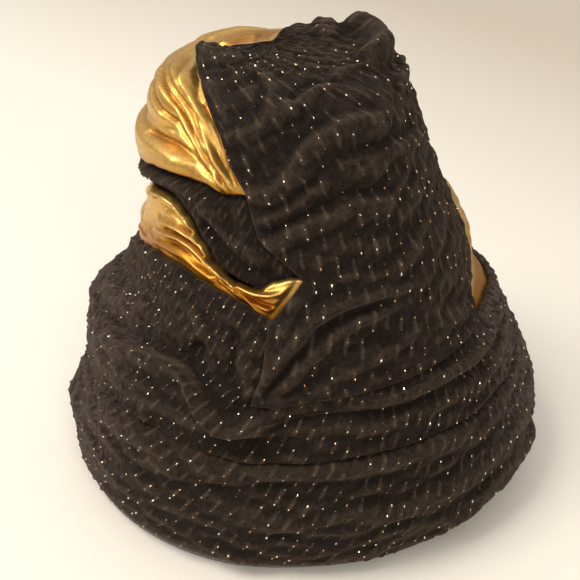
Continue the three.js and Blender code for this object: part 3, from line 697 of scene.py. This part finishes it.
upper_top = edge_at(BASE_TOP, swag_turns)
turn, up, round_off = along_rows(ring_turn, swag_u, swag_edge - 0.1, upper_top, SWAG_SPACING, 2.4, True)
s, t = swag_weave(turn, up)
raised_pile = dashes(s, t) * at_seam(turn)
drape = swag_drape(turn, up)
lap = 1 - step(up, swag_edge + 0.35, swag_edge + 0.8)
margin = step(up, upper_top - 0.9, upper_top - 0.3)
deepest = UPPER_DEEPEST + UPPER_AT_LAP * lap + UPPER_AT_TOP * margin
off = np.maximum(drape, deepest) + DASH_HEIGHT * raised_pile
off = under_crown(turn, up, off, 0.3, 3, 9)
past_lap = step(up, swag_edge + 0.45, swag_edge + 0.7)
back = UPPER_BACK + UPPER_BACK_BELOW * past_lap * (1 - margin) + UPPER_BACK_AT_TOP * margin
upper_swag, face = wrap("upper_swag_velvet", turn, up, off, back, round_off, 8,
                        velvet_marks(s, t, raised_pile, nap_and_sheen_at(turn, up), crest_and_shade_of(drape)))
beneath = under_borders(turn, up, 1) & (up > crown_low(turn) + 0.1)
set_flecks(face, s, t, fleck_light(turn, up) * ~beneath * (round_off > 0.8), 12)
upper_swag.data.materials.append(velvet)
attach(upper_swag, "root")
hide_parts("upper_swag")


# ---------------------------------------------------------------------------------------------------------
# Middle band: a narrow turn of velvet between the two swathes of gold, pulled in deep at the front left
# where the gold sash dives under the crown wrap.
# ---------------------------------------------------------------------------------------------------------

# Where the gold sash ends under the band and where the gold cap begins over it: turn and up.
SASH_TOP = [
    (-180, 8.2), (-140, 8.2), (-110, 8.15), (-85, 8.2), (-66, 8.56), (-58, 8.62), (-52, 8.56), (-47, 8.4),
    (-39, 8.04), (-32, 7.74), (-24, 7.53), (-16, 7.47), (-10, 7.66), (-4, 7.74), (2, 7.72), (20, 7.7),
    (60, 7.9), (95, 8.1), (140, 8.2),
]
CAP_LOW = [
    (-180, 9.15), (-140, 8.95), (-110, 8.78), (-85, 8.75), (-72, 8.98), (-63, 9.12), (-54, 9.18),
    (-42, 9.16), (-33, 9.06), (-24, 9.1), (0, 9.2), (60, 9.3), (120, 9.3), (150, 9.25),
]
BAND_FOLDS = [
    (3.4, 3.5, 4, [(-28, 8.5), (-34, 8.7), (-44, 8.88), (-55, 8.95), (-68, 8.8), (-90, 8.5),
                   (-125, 8.5), (-160, 8.6), (-200, 8.75)]),
    (2.5, 3, 5, [(-22, 8.15), (-28, 8.3), (-34, 8.5), (-42, 8.8)]),
    (2.2, 3, 3, [(-14, 7.9), (-20, 8.2), (-24, 8.6), (-28, 8.9)]),
    (-4, 4, 5, [(-8, 7.75), (-14, 7.75), (-22, 7.8), (-30, 8.05), (-36, 8.25), (-42, 8.45)]),
]

BAND_COLUMNS = 461
# Its face where it shows and where the gold covers it, the deepest dent, and its back.
BAND_FACE, BAND_COVERED, BAND_DEEPEST, BAND_BACK = -3.0, -5.8, -6.8, -8.0

band_u = np.linspace(0, 1, BAND_COLUMNS)[:, None]
band_turns = ring_turn(band_u, 0)
band_low = edge_at(BASE_TOP, band_turns) + 0.3
sash_top = edge_at(SASH_TOP, band_turns)
cap_low = edge_at(CAP_LOW, band_turns)
band_low = np.maximum(band_low, sash_top - 0.9)
turn, up, round_off = along_rows(ring_turn, band_u, band_low, cap_low + 0.45, 1.1, 1.2, True)
s, t = swag_weave(turn, up)
raised_pile = dashes(s, t) * at_seam(turn)
between = step(up, sash_top + 0.02, sash_top + 0.2) * (1 - step(up, cap_low - 0.2, cap_low - 0.04))
bulge = BAND_FACE + relief(BAND_FOLDS, turn, up) + ripple(turn, up, 5, 0.5) + DASH_HEIGHT * raised_pile
off = BAND_COVERED + (np.maximum(bulge, BAND_DEEPEST) - BAND_COVERED) * between
off = under_crown(turn, up, off, -2.9, 3, 8)
# Its fold crests are lightened and its valleys darkened by the same painted shade as the swags.
middle_band, face = wrap("middle_band_velvet", turn, up, off, np.full_like(off, BAND_BACK), round_off, 6,
                         velvet_marks(s, t, raised_pile, nap_and_sheen_at(turn, up) * 0.4, stand_out(bulge)))
shown = ~under_borders(turn, up) * (between > 0.8)
set_flecks(face, s, t, 0.4 * fleck_light(turn, up) * shown, 13)
middle_band.data.materials.append(velvet)
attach(middle_band, "root")
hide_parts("middle_band")


# ---------------------------------------------------------------------------------------------------------
# Gold sash: a swathe of gold lamé round the waist of the hat, gathered into long pleats that run down to
# the front, where it is tucked under the crown wrap. Its lower edge is tucked behind the velvet swag.
# ---------------------------------------------------------------------------------------------------------

# The two ropes of the sash, which cross at its twist: turn and up.
SASH_RIM = [(-68, 7.95), (-60, 8.04), (-50, 8.15), (-43, 8.1), (-37, 7.96), (-32, 7.79), (-27, 7.64),
            (-23, 7.54), (-18, 7.44), (-13, 7.42), (-9, 7.47), (-3, 7.62)]
SASH_RIDGE = [(-66, 7.7), (-56, 7.86), (-48, 7.97), (-42, 7.93), (-37, 7.83), (-32, 7.69), (-26, 7.56),
              (-22, 7.39), (-18, 7.25), (-15, 7.08), (-11, 6.95)]
SASH_FOLDS = [
    (3.6, 1.3, 1.5, SASH_RIM),
    (3.2, 1.0, 1.5, SASH_RIDGE),
    (-2.4, 0.9, 1.1, [(-62, 7.87), (-54, 8.02), (-46, 8.05), (-40, 7.95), (-35, 7.82)]),
    (-2.6, 1.6, 1.3, [(-62, 8.3), (-54, 8.34), (-47, 8.26), (-41, 8.08), (-36, 7.92)]),
    (2.6, 1.2, 1.6, [(-72, 8.4), (-62, 8.56), (-54, 8.58), (-48, 8.42), (-42, 8.2), (-38, 8.02)]),
    (-2.2, 1.2, 1.2, [(-29, 7.52), (-24, 7.44), (-19, 7.33), (-14, 7.25), (-9, 7.22)]),
    (1.4, 0.8, 0.8, [(-27, 7.52), (-22, 7.42), (-17, 7.26), (-13, 7.16), (-8, 7.1)]),
    (1.6, 1.0, 1.4, [(-34, 7.55), (-28, 7.48), (-23, 7.33), (-19, 7.19), (-15, 7.04)]),
    (-1.6, 1.0, 1.2, [(-30, 7.46), (-24, 7.31), (-20, 7.2), (-16, 7.08)]),
    (-1.8, 1.5, 1.5, [(-58, 7.7), (-48, 7.8), (-40, 7.72), (-33, 7.58), (-28, 7.44)]),
    (1.2, 1.2, 1.4, [(-64, 7.5), (-54, 7.62), (-44, 7.64), (-36, 7.52), (-30, 7.42)]),
    (1.4, 3, 3.5, [(-62, 8.6), (-70, 8.1), (-79, 7.5), (-86, 7.0)]),
    (-1.0, 2, 2, [(-60, 8.25), (-66, 7.9), (-72, 7.5), (-78, 7.1)]),
    (1.6, 2, 2.5, [(-72, 8.3), (-90, 8.0), (-115, 7.8), (-140, 7.7), (-175, 7.6)]),
    (1.6, 2, 2.5, [(-80, 7.5), (-95, 7.3), (-120, 7.1), (-145, 7.0), (-175, 6.9)]),
    (2.2, 4, 5, [(-130, 7.5), (-165, 7.3), (-200, 7.5), (-235, 7.5), (-262, 7.2)]),
    (1.8, 2, 3, [(-165, 8.0), (-195, 7.9), (-225, 7.9), (-255, 7.6)]),
    (2.0, 2, 3, [(-160, 6.4), (-190, 6.6), (-225, 6.6), (-262, 6.4)]),
    (-3.4, 8, 8, [(-76, 8.3), (-92, 8.1), (-112, 7.9), (-135, 7.8)]),
    (3.4, 14, 14, [(66, 6.4), (84, 6.8), (100, 6.9), (118, 7.0), (136, 7.0)]),
    (1.4, 1.5, 2, [(68, 5.95), (78, 6.3), (90, 6.7), (104, 7.2), (118, 7.8)]),
    (1.4, 1.5, 2, [(76, 5.95), (88, 6.25), (102, 6.7), (118, 7.2), (135, 7.7)]),
]


def fine_left(count):
    """Columns for a ring of cloth, closer together at the left and front, where its pleats are finest."""
    turns = np.linspace(-180, 180, 1441)
    pace = 1 + 1.5 * step(turns, -112, -98) * (1 - step(turns, 2, 14))
    total = np.append(0, np.cumsum((pace[1:] + pace[:-1]) / 2))
    return np.interp(np.linspace(0, total[-1], count), total, turns / 360 + 0.5)[:, None]


SASH_COLUMNS, SASH_SPACING = 761, 0.72
# The gold's face where it is covered, how far the sash stands out above the velvet, and its deepest dent.
GOLD_COVERED, GOLD_BACK = -2.8, -5.0
SASH_RISE, SASH_DEEPEST = 1.4, -2.6


def in_folds(drape):
    """How deep a place of the gold lies in its folds, less than 0 on the crests; it sets the painted shade
    in the folds.
    """
    return -0.8 * stand_out(drape, 3)


sash_u = fine_left(SASH_COLUMNS)
sash_turns = ring_turn(sash_u, 0)
sash_low, sash_high = edge_at(BASE_TOP, sash_turns), edge_at(SASH_TOP, sash_turns)
turn, up, round_off = along_rows(ring_turn, sash_u, sash_low - 0.42, sash_high, SASH_SPACING, 1.8, True)
above = step(up, sash_low - 0.05, sash_low + 0.2)
drape = relief(SASH_FOLDS, turn, up) + ripple(turn, up, 7, 0.3, 5, 120)
off = GOLD_COVERED + (SASH_RISE + np.maximum(drape, SASH_DEEPEST)) * above
off = under_crown(turn, up, off, -3.1, 2, 4)
# Painted shade: the sash turns orange low down, where it goes in under the velvet swag.
lower_edge_shade = step(up, sash_low + 0.75, sash_low + 0.15)
gold_sash, _ = wrap("gold_sash_lame", turn, up, off, np.full_like(off, GOLD_BACK), round_off, 6,
                    {"shade": np.clip(lower_edge_shade + in_folds(drape), 0, 1)})

# Gold lamé, a fine metal thread over a silk-like ground: bright satin, pale on the crests. The orange in its
# folds, low on the sash and behind the crown wrap's corner is painted shade, mixed in by its shade mark. Its
# grain is a 0.6 mm thread crossed by slubs about 2.5 mm long.
lame = start_material("woven_gold_lame")
place = add_node(lame, "ShaderNodeTexCoord").outputs["Object"]
shade = add_node(lame, "ShaderNodeAttribute", attribute_name="shade")
thread = add_node(lame, "ShaderNodeTexNoise", {"Vector": place, "Scale": 1700.0, "Detail": 2.0})
slub = add_node(lame, "ShaderNodeTexNoise", {"Vector": place, "Scale": 420.0, "Detail": 3.0})
tone = add_node(lame, "ShaderNodeMix", {
    0: slub.outputs["Fac"], 6: linear("#bb883b"), 7: linear("#e5c276")}, data_type="RGBA")
tone = add_node(lame, "ShaderNodeMix", {
    0: shade.outputs["Fac"], 6: tone.outputs[2], 7: linear("#a9701f")}, data_type="RGBA")
dull = add_node(lame, "ShaderNodeMapRange", {"Value": slub.outputs["Fac"], 3: 0.28, 4: 0.46})
grain = add_node(lame, "ShaderNodeMath", {0: slub.outputs["Fac"], 1: 0.6, 2: thread.outputs["Fac"]},
                 operation="MULTIPLY_ADD")
grain = add_node(lame, "ShaderNodeBump", {"Height": grain.outputs[0], "Strength": 0.35,
                                          "Distance": 0.0003})
metal = add_node(lame, "ShaderNodeBsdfPrincipled", {
    "Base Color": tone.outputs[2], "Metallic": 0.9, "Roughness": dull.outputs[0],
    "Normal": grain.outputs["Normal"]})
add_node(lame, "ShaderNodeOutputMaterial", {"Surface": metal.outputs[0]})
gold_sash.data.materials.append(lame)
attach(gold_sash, "root")
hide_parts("gold_sash")


# ---------------------------------------------------------------------------------------------------------
# Gold cap: the upper swathe of lamé, closed over the top of the form and drawn down at the front left to a
# point, where its pleats run together under the edge of the crown wrap.
# ---------------------------------------------------------------------------------------------------------

# The ridges of the pleats and the grooves beside them, each from the point up to the left: turn and up.
CAP_PLEATS = [
    [(-23, 9.12), (-29, 9.53), (-34, 9.9), (-40, 10.39), (-47, 10.81), (-52, 11.12)],
    [(-25, 9.12), (-30, 9.4), (-35, 9.62), (-41, 9.97), (-50, 10.49), (-61, 10.95), (-74, 11.4)],
    [(-28, 9.12), (-32, 9.36), (-39, 9.75), (-47, 10.19), (-54, 10.59), (-64, 10.93), (-73, 11.18),
     (-86, 11.4), (-102, 11.6)],
    [(-30, 9.12), (-34, 9.28), (-39, 9.63), (-47, 9.98), (-53, 10.34), (-61, 10.66), (-68, 10.86),
     (-78, 11.08), (-98, 11.25)],
    [(-31, 9.12), (-38, 9.43), (-45, 9.75), (-53, 10.07), (-58, 10.27), (-65, 10.5), (-76, 10.68),
     (-96, 10.8)],
]
CAP_GROOVES = [
    [(-24, 9.16), (-32, 9.66), (-37, 10.05), (-44, 10.48), (-54, 11.0)],
    [(-27, 9.16), (-29, 9.38), (-38, 9.82), (-49, 10.41), (-61, 10.9), (-71, 11.22), (-80, 11.47)],
    [(-30, 9.16), (-35, 9.44), (-43, 9.86), (-50, 10.3), (-58, 10.66), (-70, 11.0), (-88, 11.28)],
    [(-31, 9.14), (-38, 9.5), (-45, 9.84), (-53, 10.2), (-61, 10.5), (-74, 10.84), (-94, 11.0)],
    [(-33, 9.12), (-40, 9.42), (-48, 9.7), (-56, 9.96), (-66, 10.2), (-80, 10.32), (-94, 10.4)],
]
CAP_BACK_FOLDS = 6
CAP_FOLDS = [
    (6.2, 12, 5, [(-46, 9.34), (-62, 9.46), (-80, 9.42), (-104, 9.44), (-135, 9.7)]),
    (3, 6, 9, [(-100, 12.7), (-118, 12.6), (-140, 12.6), (-165, 12.8)]),
    (5.6, 7, 7, [(-62, 10.15), (-84, 10.05), (-108, 10.05), (-140, 10.2)]),
    (6.5, 10, 10, [(-58, 11.3), (-76, 10.95), (-96, 10.8), (-125, 10.9), (-160, 11)]),
    (-2.4, 1.6, 2, [(-76, 9.6), (-66, 9.68), (-56, 9.7), (-45, 9.55), (-37, 9.33)]),
    (-3, 2, 3, [(-104, 12.35), (-118, 12.3), (-135, 12.35), (-150, 12.45)]),
]
for pleat in CAP_PLEATS:
    CAP_FOLDS.append((3.2, 1.4, 1.9, pleat))
for groove in CAP_GROOVES:
    CAP_FOLDS.append((-2.4, 1.1, 1.1, groove))
# Softer folds run on round the back, one above the other.
for k in range(CAP_BACK_FOLDS):
    CAP_FOLDS.append((1.3, 2, 2.5, [(-104 - 3 * k, 9.5 + 0.42 * k), (-128, 9.4 + 0.44 * k),
                                    (-155, 9.5 + 0.42 * k), (-182, 9.4 + 0.45 * k), (-206, 9.5 + 0.45 * k)]))

CAP_COLUMNS, CAP_SPACING, CAP_DEEPEST = 721, 0.9, -1.6

cap_u = fine_left(CAP_COLUMNS)
cap_turns = ring_turn(cap_u, 0)
cap_edge = edge_at(CAP_LOW, cap_turns)
turn, up, round_off = along_rows(ring_turn, cap_u, cap_edge, np.full_like(cap_edge, TIP), CAP_SPACING, 1.6,
                                 False)
rise = step(TIP - up, 0.5, 1.6)
drape = relief(CAP_FOLDS, turn, up) + ripple(turn, up, 9, 0.25, 5, 120)
off = GOLD_COVERED + np.maximum(drape, CAP_DEEPEST) * rise
# Painted shade: the gold is darkest behind the crown wrap's upper left corner, and a little along its own
# lower edge.
top_corner_shade = 0.8 * step(-turn, 98, 110) * step(up, 11.9, 12.2) * (1 - step(up, 12.9, 13.3))
off = under_crown(turn, up, off, -2.9, 2, 5)
lower_edge_shade = 0.6 * step(up, cap_edge + 0.4, cap_edge + 0.05)
gold_cap, _ = wrap("gold_cap_lame", turn, up, off, np.full_like(off, GOLD_BACK), round_off, 12,
                   {"shade": np.clip(lower_edge_shade + in_folds(drape) + top_corner_shade, 0, 1)})
gold_cap.data.materials.append(lame)
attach(gold_cap, "root")
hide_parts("gold_cap")


# ---------------------------------------------------------------------------------------------------------
# Crown wrap: the outermost velvet, laid over the top and down the front and right side. Its left border is
# rolled over the gold, and its foot is tucked into the swags.
# ---------------------------------------------------------------------------------------------------------

CROWN_FOLDS = [
    (3, 5, 5, [(150, 12.3), (134, 12.2), (122, 12.45), (110, 12.7)]),
    (3, 6, 6, [(-104, 12.2), (-88, 12.25), (-70, 12.3), (-52, 12.5), (-36, 12.7)]),
    (2.5, 8, 12, [(172, 13.2), (155, 12.8), (138, 12.4), (122, 12.1)]),
    (12, 6, 4.5, [(132, 12.1), (120, 11.9), (108, 11.8), (97, 11.75), (86, 11.75), (76, 11.85), (66, 12.0)]),
    (4, 4, 4, [(125, 10.8), (105, 10.8), (85, 10.8), (62, 10.9)]),
    (5, 2.6, 8, [(-26, 9.2), (-20, 9.2), (-15, 9.25), (-11, 9.35), (-7, 9.55), (-4, 9.8), (-1, 10.08),
                 (3, 10.3), (8, 10.45), (15, 10.6), (24, 10.62), (36, 10.52), (50, 10.35)]),
    (-3.2, 5, 3, [(-22, 9.6), (-14, 9.75), (-8, 10.05), (-3, 10.4), (4, 10.75), (12, 10.95)]),
    (3, 3, 4, [(-34, 10.2), (-26, 10.3), (-18, 10.7), (-12, 11.0), (-4, 11.3)]),
    (-2.6, 2, 2.5, [(-22, 8.98), (-15, 8.96), (-8, 9.1), (-2, 9.34), (6, 9.6)]),
    (2.2, 2.5, 3.5, [(-21, 8.75), (-14, 8.76), (-7, 8.92), (0, 9.15), (8, 9.4), (20, 9.55), (34, 9.5)]),
    (3.4, 3, 6, [(-19, 8.2), (-11, 8.4), (-5, 8.62), (4, 8.78), (11, 8.85), (18, 8.95), (28, 8.9),
                 (40, 8.8)]),
    (-2.4, 2.5, 2.5, [(-17, 8.46), (-9, 8.62), (0, 8.86), (8, 9.02), (18, 9.2), (30, 9.15)]),
    (2.4, 2.5, 2.5, [(-28, 12.4), (-20, 12.1), (-14, 11.9), (-13, 11.6), (-16, 11.3), (-17, 10.9)]),
    (-2, 2, 2, [(-22, 12.1), (-19, 11.7), (-21, 11.3), (-22, 10.9)]),
    (1.6, 2, 2, [(-56, 11.5), (-47, 11.2), (-41, 10.9), (-34, 10.4), (-30, 10.0)]),
    (2.2, 2.5, 2.5, [(-9, 10.9), (-6, 11.05), (0, 11.3), (9, 11.48), (18, 11.56), (24, 11.5)]),
    (-2, 2, 2, [(-6, 11.3), (2, 11.52), (12, 11.7), (24, 11.75)]),
    (2.4, 2.5, 2.5, [(30, 11.7), (35, 11.8), (45, 11.9), (56, 11.9), (62, 11.75), (66, 11.5)]),
    (-2.6, 3, 3, [(16, 9.98), (22, 9.98), (29, 10.0), (39, 9.95), (52, 9.9), (66, 9.8)]),
    (2.4, 3, 6, [(12, 9.7), (22, 9.78), (32, 9.8), (42, 9.75), (56, 9.7), (72, 9.6)]),
    (3.6, 2.2, 3.4, [(44, 7.15), (31, 7.29), (17, 7.3), (7, 7.15), (1, 6.9), (-4, 6.55), (-8, 6.2),
                     (-10, 5.9), (-12, 5.5), (-15, 5.15)]),
    (-2.4, 2, 2, [(24, 7.12), (14, 7.1), (6, 6.9), (0, 6.6), (-5, 6.15), (-8, 5.75), (-10, 5.35)]),
    (3.2, 2, 3, [(34, 7.05), (22, 6.98), (12, 6.8), (5, 6.55), (0, 6.25), (-4, 5.85), (-7, 5.45),
                 (-9, 5.1)]),
    (-2, 2, 2.5, [(26, 6.6), (15, 6.5), (8, 6.3), (2, 5.9), (-2, 5.5)]),
    (2, 2, 3, [(40, 6.5), (26, 6.3), (15, 6.1), (8, 5.85), (4, 5.55), (2, 5.3)]),
    (2, 2.5, 4, [(10, 7.8), (18, 7.7), (27, 7.65), (36, 7.75), (46, 7.9)]),
    (1.8, 4, 5, [(38, 6.3), (52, 6.2), (68, 6.4), (84, 6.7)]),
    (-1.8, 4, 4, [(28, 8.35), (46, 8.25), (66, 8.35), (88, 8.5)]),
    (1.8, 4, 5, [(0, 7.95), (8, 8.12), (16, 8.25), (30, 8.2)]),
    (1.8, 2.5, 3, [(-1, 7.5), (-4, 7.1), (-7, 6.7), (-11, 6.2), (-13, 5.7)]),
]


def crown_turn(u, up):
    """The turn at a share u of the way across the crown wrap."""
    left = crown_end(LEFT_BORDER, up)
    return left + (crown_end(RIGHT_BORDER, up) - left) * u


# The crown's weave is laid out from one height and one turn. Its dashes fan about a point to the left and
# above, and their rows slant.
CROWN_WEAVE_START, CROWN_MIDDLE = 100, 20
FAN_LEFT, FAN_UP, CROWN_SLANT = 150, 70, 0.32


def crown_weave(turn, up):
    """Where a place of the crown wrap lies on its cloth. Its dashes fan a little to the left at the top."""
    rise = climb(up) - CROWN_WEAVE_START
    around = np.radians(turn - CROWN_MIDDLE) * (0.5 * form_value(RIGHT, up) + 37)
    across = np.hypot(around + FAN_LEFT, np.maximum(rise - FAN_UP, -40))
    return across, rise + CROWN_SLANT * across


CROWN_ROLL, CROWN_WIDTH, CROWN_COLUMNS, CROWN_SPACING = 3.2, 170, 190, 1.0
# How thick the rolled cloth is over the gold, and in its deepest dent.
CROWN_THICK, CROWN_THINNEST = 2.9, 1.4

roll_share = CROWN_ROLL / CROWN_WIDTH
border = roll_share * ROLL_ROWS
middle = np.linspace(roll_share, 1 - roll_share, CROWN_COLUMNS)
crown_u = np.concatenate([border, middle, 1 - border[::-1]])[:, None]
crown_foot = crown_low(crown_turn(crown_u, 5.0))
turn, up, round_off = along_rows(crown_turn, crown_u, crown_foot, np.full_like(crown_foot, TIP),
                                 CROWN_SPACING, CROWN_ROLL, False)
width = np.radians(crown_end(RIGHT_BORDER, up) - crown_end(LEFT_BORDER, up))
width = width * np.maximum(form_value(FRONT, up), 12)
round_off = round_off * round_edge(np.minimum(crown_u, 1 - crown_u) * width, CROWN_ROLL)
s, t = crown_weave(turn, up)
raised_pile = dashes(s, t) * step(TIP - up, 0.8, 1.6)
base_top = edge_at(BASE_TOP, turn)
back = 1.0 - 3.2 * step(up, base_top + 0.15, base_top + 0.75)
drape = relief(CROWN_FOLDS, turn, up) + ripple(turn, up, 21, 0.8, 10, 30)
off = back + np.maximum(CROWN_THICK + drape, CROWN_THINNEST) + DASH_HEIGHT * raised_pile
crown_wrap, face = wrap("crown_velvet", turn, up, off, back, round_off, 0,
                        velvet_marks(s, t, raised_pile, np.full_like(s, 0.08), crest_and_shade_of(drape)))
crown_light = (1 - 0.7 * step(turn, 60, 90)) * (TIP - up > 1.0)
set_flecks(face, s, t, crown_light * (round_off > 0.9), 14)
crown_wrap.data.materials.append(velvet)
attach(crown_wrap, "root")
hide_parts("crown_wrap")


# ---------------------------------------------------------------------------------------------------------
# Metal flecks: short floats of gold and silver thread on the velvet's raised dashes, each 1 to 1.6 mm
# long and held by the pile. They are set in one piece.
# ---------------------------------------------------------------------------------------------------------

# Half of a fleck's width, length and thickness, and how far it leans at random.
FLECK_HALF = (0.36, 0.62, 0.3)
FLECK_LEAN = 0.35

bpy.ops.object.select_all(action="DESELECT")
bpy.ops.mesh.primitive_ico_sphere_add(subdivisions=1, radius=1)
bead = bpy.context.object
bead_points = np.array([v.co[:] for v in bead.data.vertices])
bead_faces = np.array([p.vertices[:] for p in bead.data.polygons])
bpy.data.objects.remove(bead)

chance = np.random.default_rng(5)
points, faces, tints = [], [], []
for spot, way, (*run, tint) in zip(fleck_spots, fleck_ways, fleck_runs):
    size = np.array(FLECK_HALF) * (0.8 + 0.5 * tint ** 2)
    way = way + chance.normal(0, FLECK_LEAN, 3)
    way /= np.linalg.norm(way)
    run = np.array(run) - way * (np.array(run) @ way)
    run /= max(np.linalg.norm(run), 1e-9)
    axes = np.stack([np.cross(run, way), run, way])
    faces.append(bead_faces + len(points) * len(bead_points))
    points.append(spot + (bead_points * size) @ axes)
    tints += [tint] * len(bead_points)
fleck_mesh = bpy.data.meshes.new("metal_flecks")
fleck_mesh.from_pydata((np.concatenate(points) / 1000).tolist(), [], np.concatenate(faces).tolist())
flecks = bpy.data.objects.new("metal_flecks", fleck_mesh)
bpy.context.collection.objects.link(flecks)
tint_mark = fleck_mesh.attributes.new("tint", "FLOAT", "POINT")
tint_mark.data.foreach_set("value", tints)

# Metallised thread, gold with some silver, flattened and bright.
metal_thread = start_material("metallised_thread")
tint = add_node(metal_thread, "ShaderNodeAttribute", attribute_name="tint")
tone = add_node(metal_thread, "ShaderNodeValToRGB", {"Fac": tint.outputs["Fac"]})
tone.color_ramp.elements[0].color = linear("#574b40")
tone.color_ramp.elements[1].color = linear("#fffaf0")
for spot, colour in ((0.35, "#93836f"), (0.6, "#cfbea0"), (0.72, "#e3b270"), (0.8, "#f3e4c6")):
    tone.color_ramp.elements.new(spot).color = linear(colour)
glint = add_node(metal_thread, "ShaderNodeBsdfPrincipled", {
    "Base Color": tone.outputs["Color"], "Metallic": 1.0, "Roughness": 0.25})
add_node(metal_thread, "ShaderNodeOutputMaterial", {"Surface": glint.outputs[0]})
fleck_mesh.materials.append(metal_thread)
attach(flecks, "root")


# ---------------------------------------------------------------------------------------------------------
# The setting: a pale table top, soft daylight, and the camera in front, looking down at the hat.
# ---------------------------------------------------------------------------------------------------------

TABLE_RADIUS = 6

bpy.ops.object.select_all(action="DESELECT")
bpy.ops.mesh.primitive_circle_add(vertices=64, radius=TABLE_RADIUS, fill_type="NGON")
table = bpy.context.object
table.name = "pale_table"
paper = start_material("matt_paper")
place = add_node(paper, "ShaderNodeTexCoord").outputs["Object"]
turned = add_node(paper, "ShaderNodeMapping", {"Vector": place, "Rotation": (0, 0, math.radians(-45))})
away = add_node(paper, "ShaderNodeSeparateXYZ", {0: turned.outputs[0]})
# Painted shade: the paper darkens towards the back right, for the light falling off there.
falloff_shade = add_node(paper, "ShaderNodeMapRange", {"Value": away.outputs["X"], 1: 0.2, 2: 0.62})
tone = add_node(paper, "ShaderNodeMix", {
    0: falloff_shade.outputs[0], 6: linear("#e8e5df"), 7: linear("#c9c0b5")}, data_type="RGBA")
matt = add_node(paper, "ShaderNodeBsdfPrincipled", {
    "Base Color": tone.outputs[2], "Roughness": 0.8, "Specular IOR Level": 0.2})
add_node(paper, "ShaderNodeOutputMaterial", {"Surface": matt.outputs[0]})
table.data.materials.append(paper)

# The room: bright overhead and to the left, dimmer low down and to the right.
world = bpy.data.worlds.new("soft_room")
bpy.context.scene.world = world
world.use_nodes = True
way = add_node(world, "ShaderNodeTexCoord").outputs["Generated"]
parts = add_node(world, "ShaderNodeSeparateXYZ", {0: way})
height = add_node(world, "ShaderNodeMapRange", {
    "Value": parts.outputs["Z"], 1: 0.0, 2: 0.9, 3: 0.35, 4: 1.08})
side = add_node(world, "ShaderNodeMapRange", {
    "Value": parts.outputs["X"], 1: -1.0, 2: 1.0, 3: 1.3, 4: 0.8})
strength = add_node(world, "ShaderNodeMath", {
    0: height.outputs[0], 1: side.outputs[0]}, operation="MULTIPLY")
world.node_tree.links.new(strength.outputs[0], world.node_tree.nodes["Background"].inputs["Strength"])
world.node_tree.nodes["Background"].inputs["Color"].default_value = linear("#f5f0e6")


def aim(thing, spot):
    way = Vector(spot) - thing.location
    thing.rotation_euler = way.to_track_quat("-Z", "Y").to_euler()


def soft_light(name, spot, size, power, colour):
    bpy.ops.object.light_add(type="AREA", location=spot)
    lamp = bpy.context.object
    lamp.name = name
    lamp.data.shape = "DISK"
    lamp.data.size = size
    lamp.data.energy = power
    lamp.data.color = linear(colour)[:3]
    aim(lamp, (0, 0, 0.1))


soft_light("window_light", (-0.8, -0.35, 1.5), 0.8, 17, "#fff6e8")
soft_light("front_fill", (0.5, -1.5, 1.3), 0.4, 7, "#fff3e2")

CAMERA_SPOT, CAMERA_AIM, CAMERA_LENS = (-0.007, -0.46426, 0.40815), (-0.007, 0, 0.095), 64.68

bpy.ops.object.camera_add(location=CAMERA_SPOT)
camera = bpy.context.object
aim(camera, CAMERA_AIM)
camera.data.lens = CAMERA_LENS
camera.data.sensor_width = 36
camera.data.clip_start = 0.01
bpy.context.scene.camera = camera
bpy.context.scene.view_settings.view_transform = "Standard"
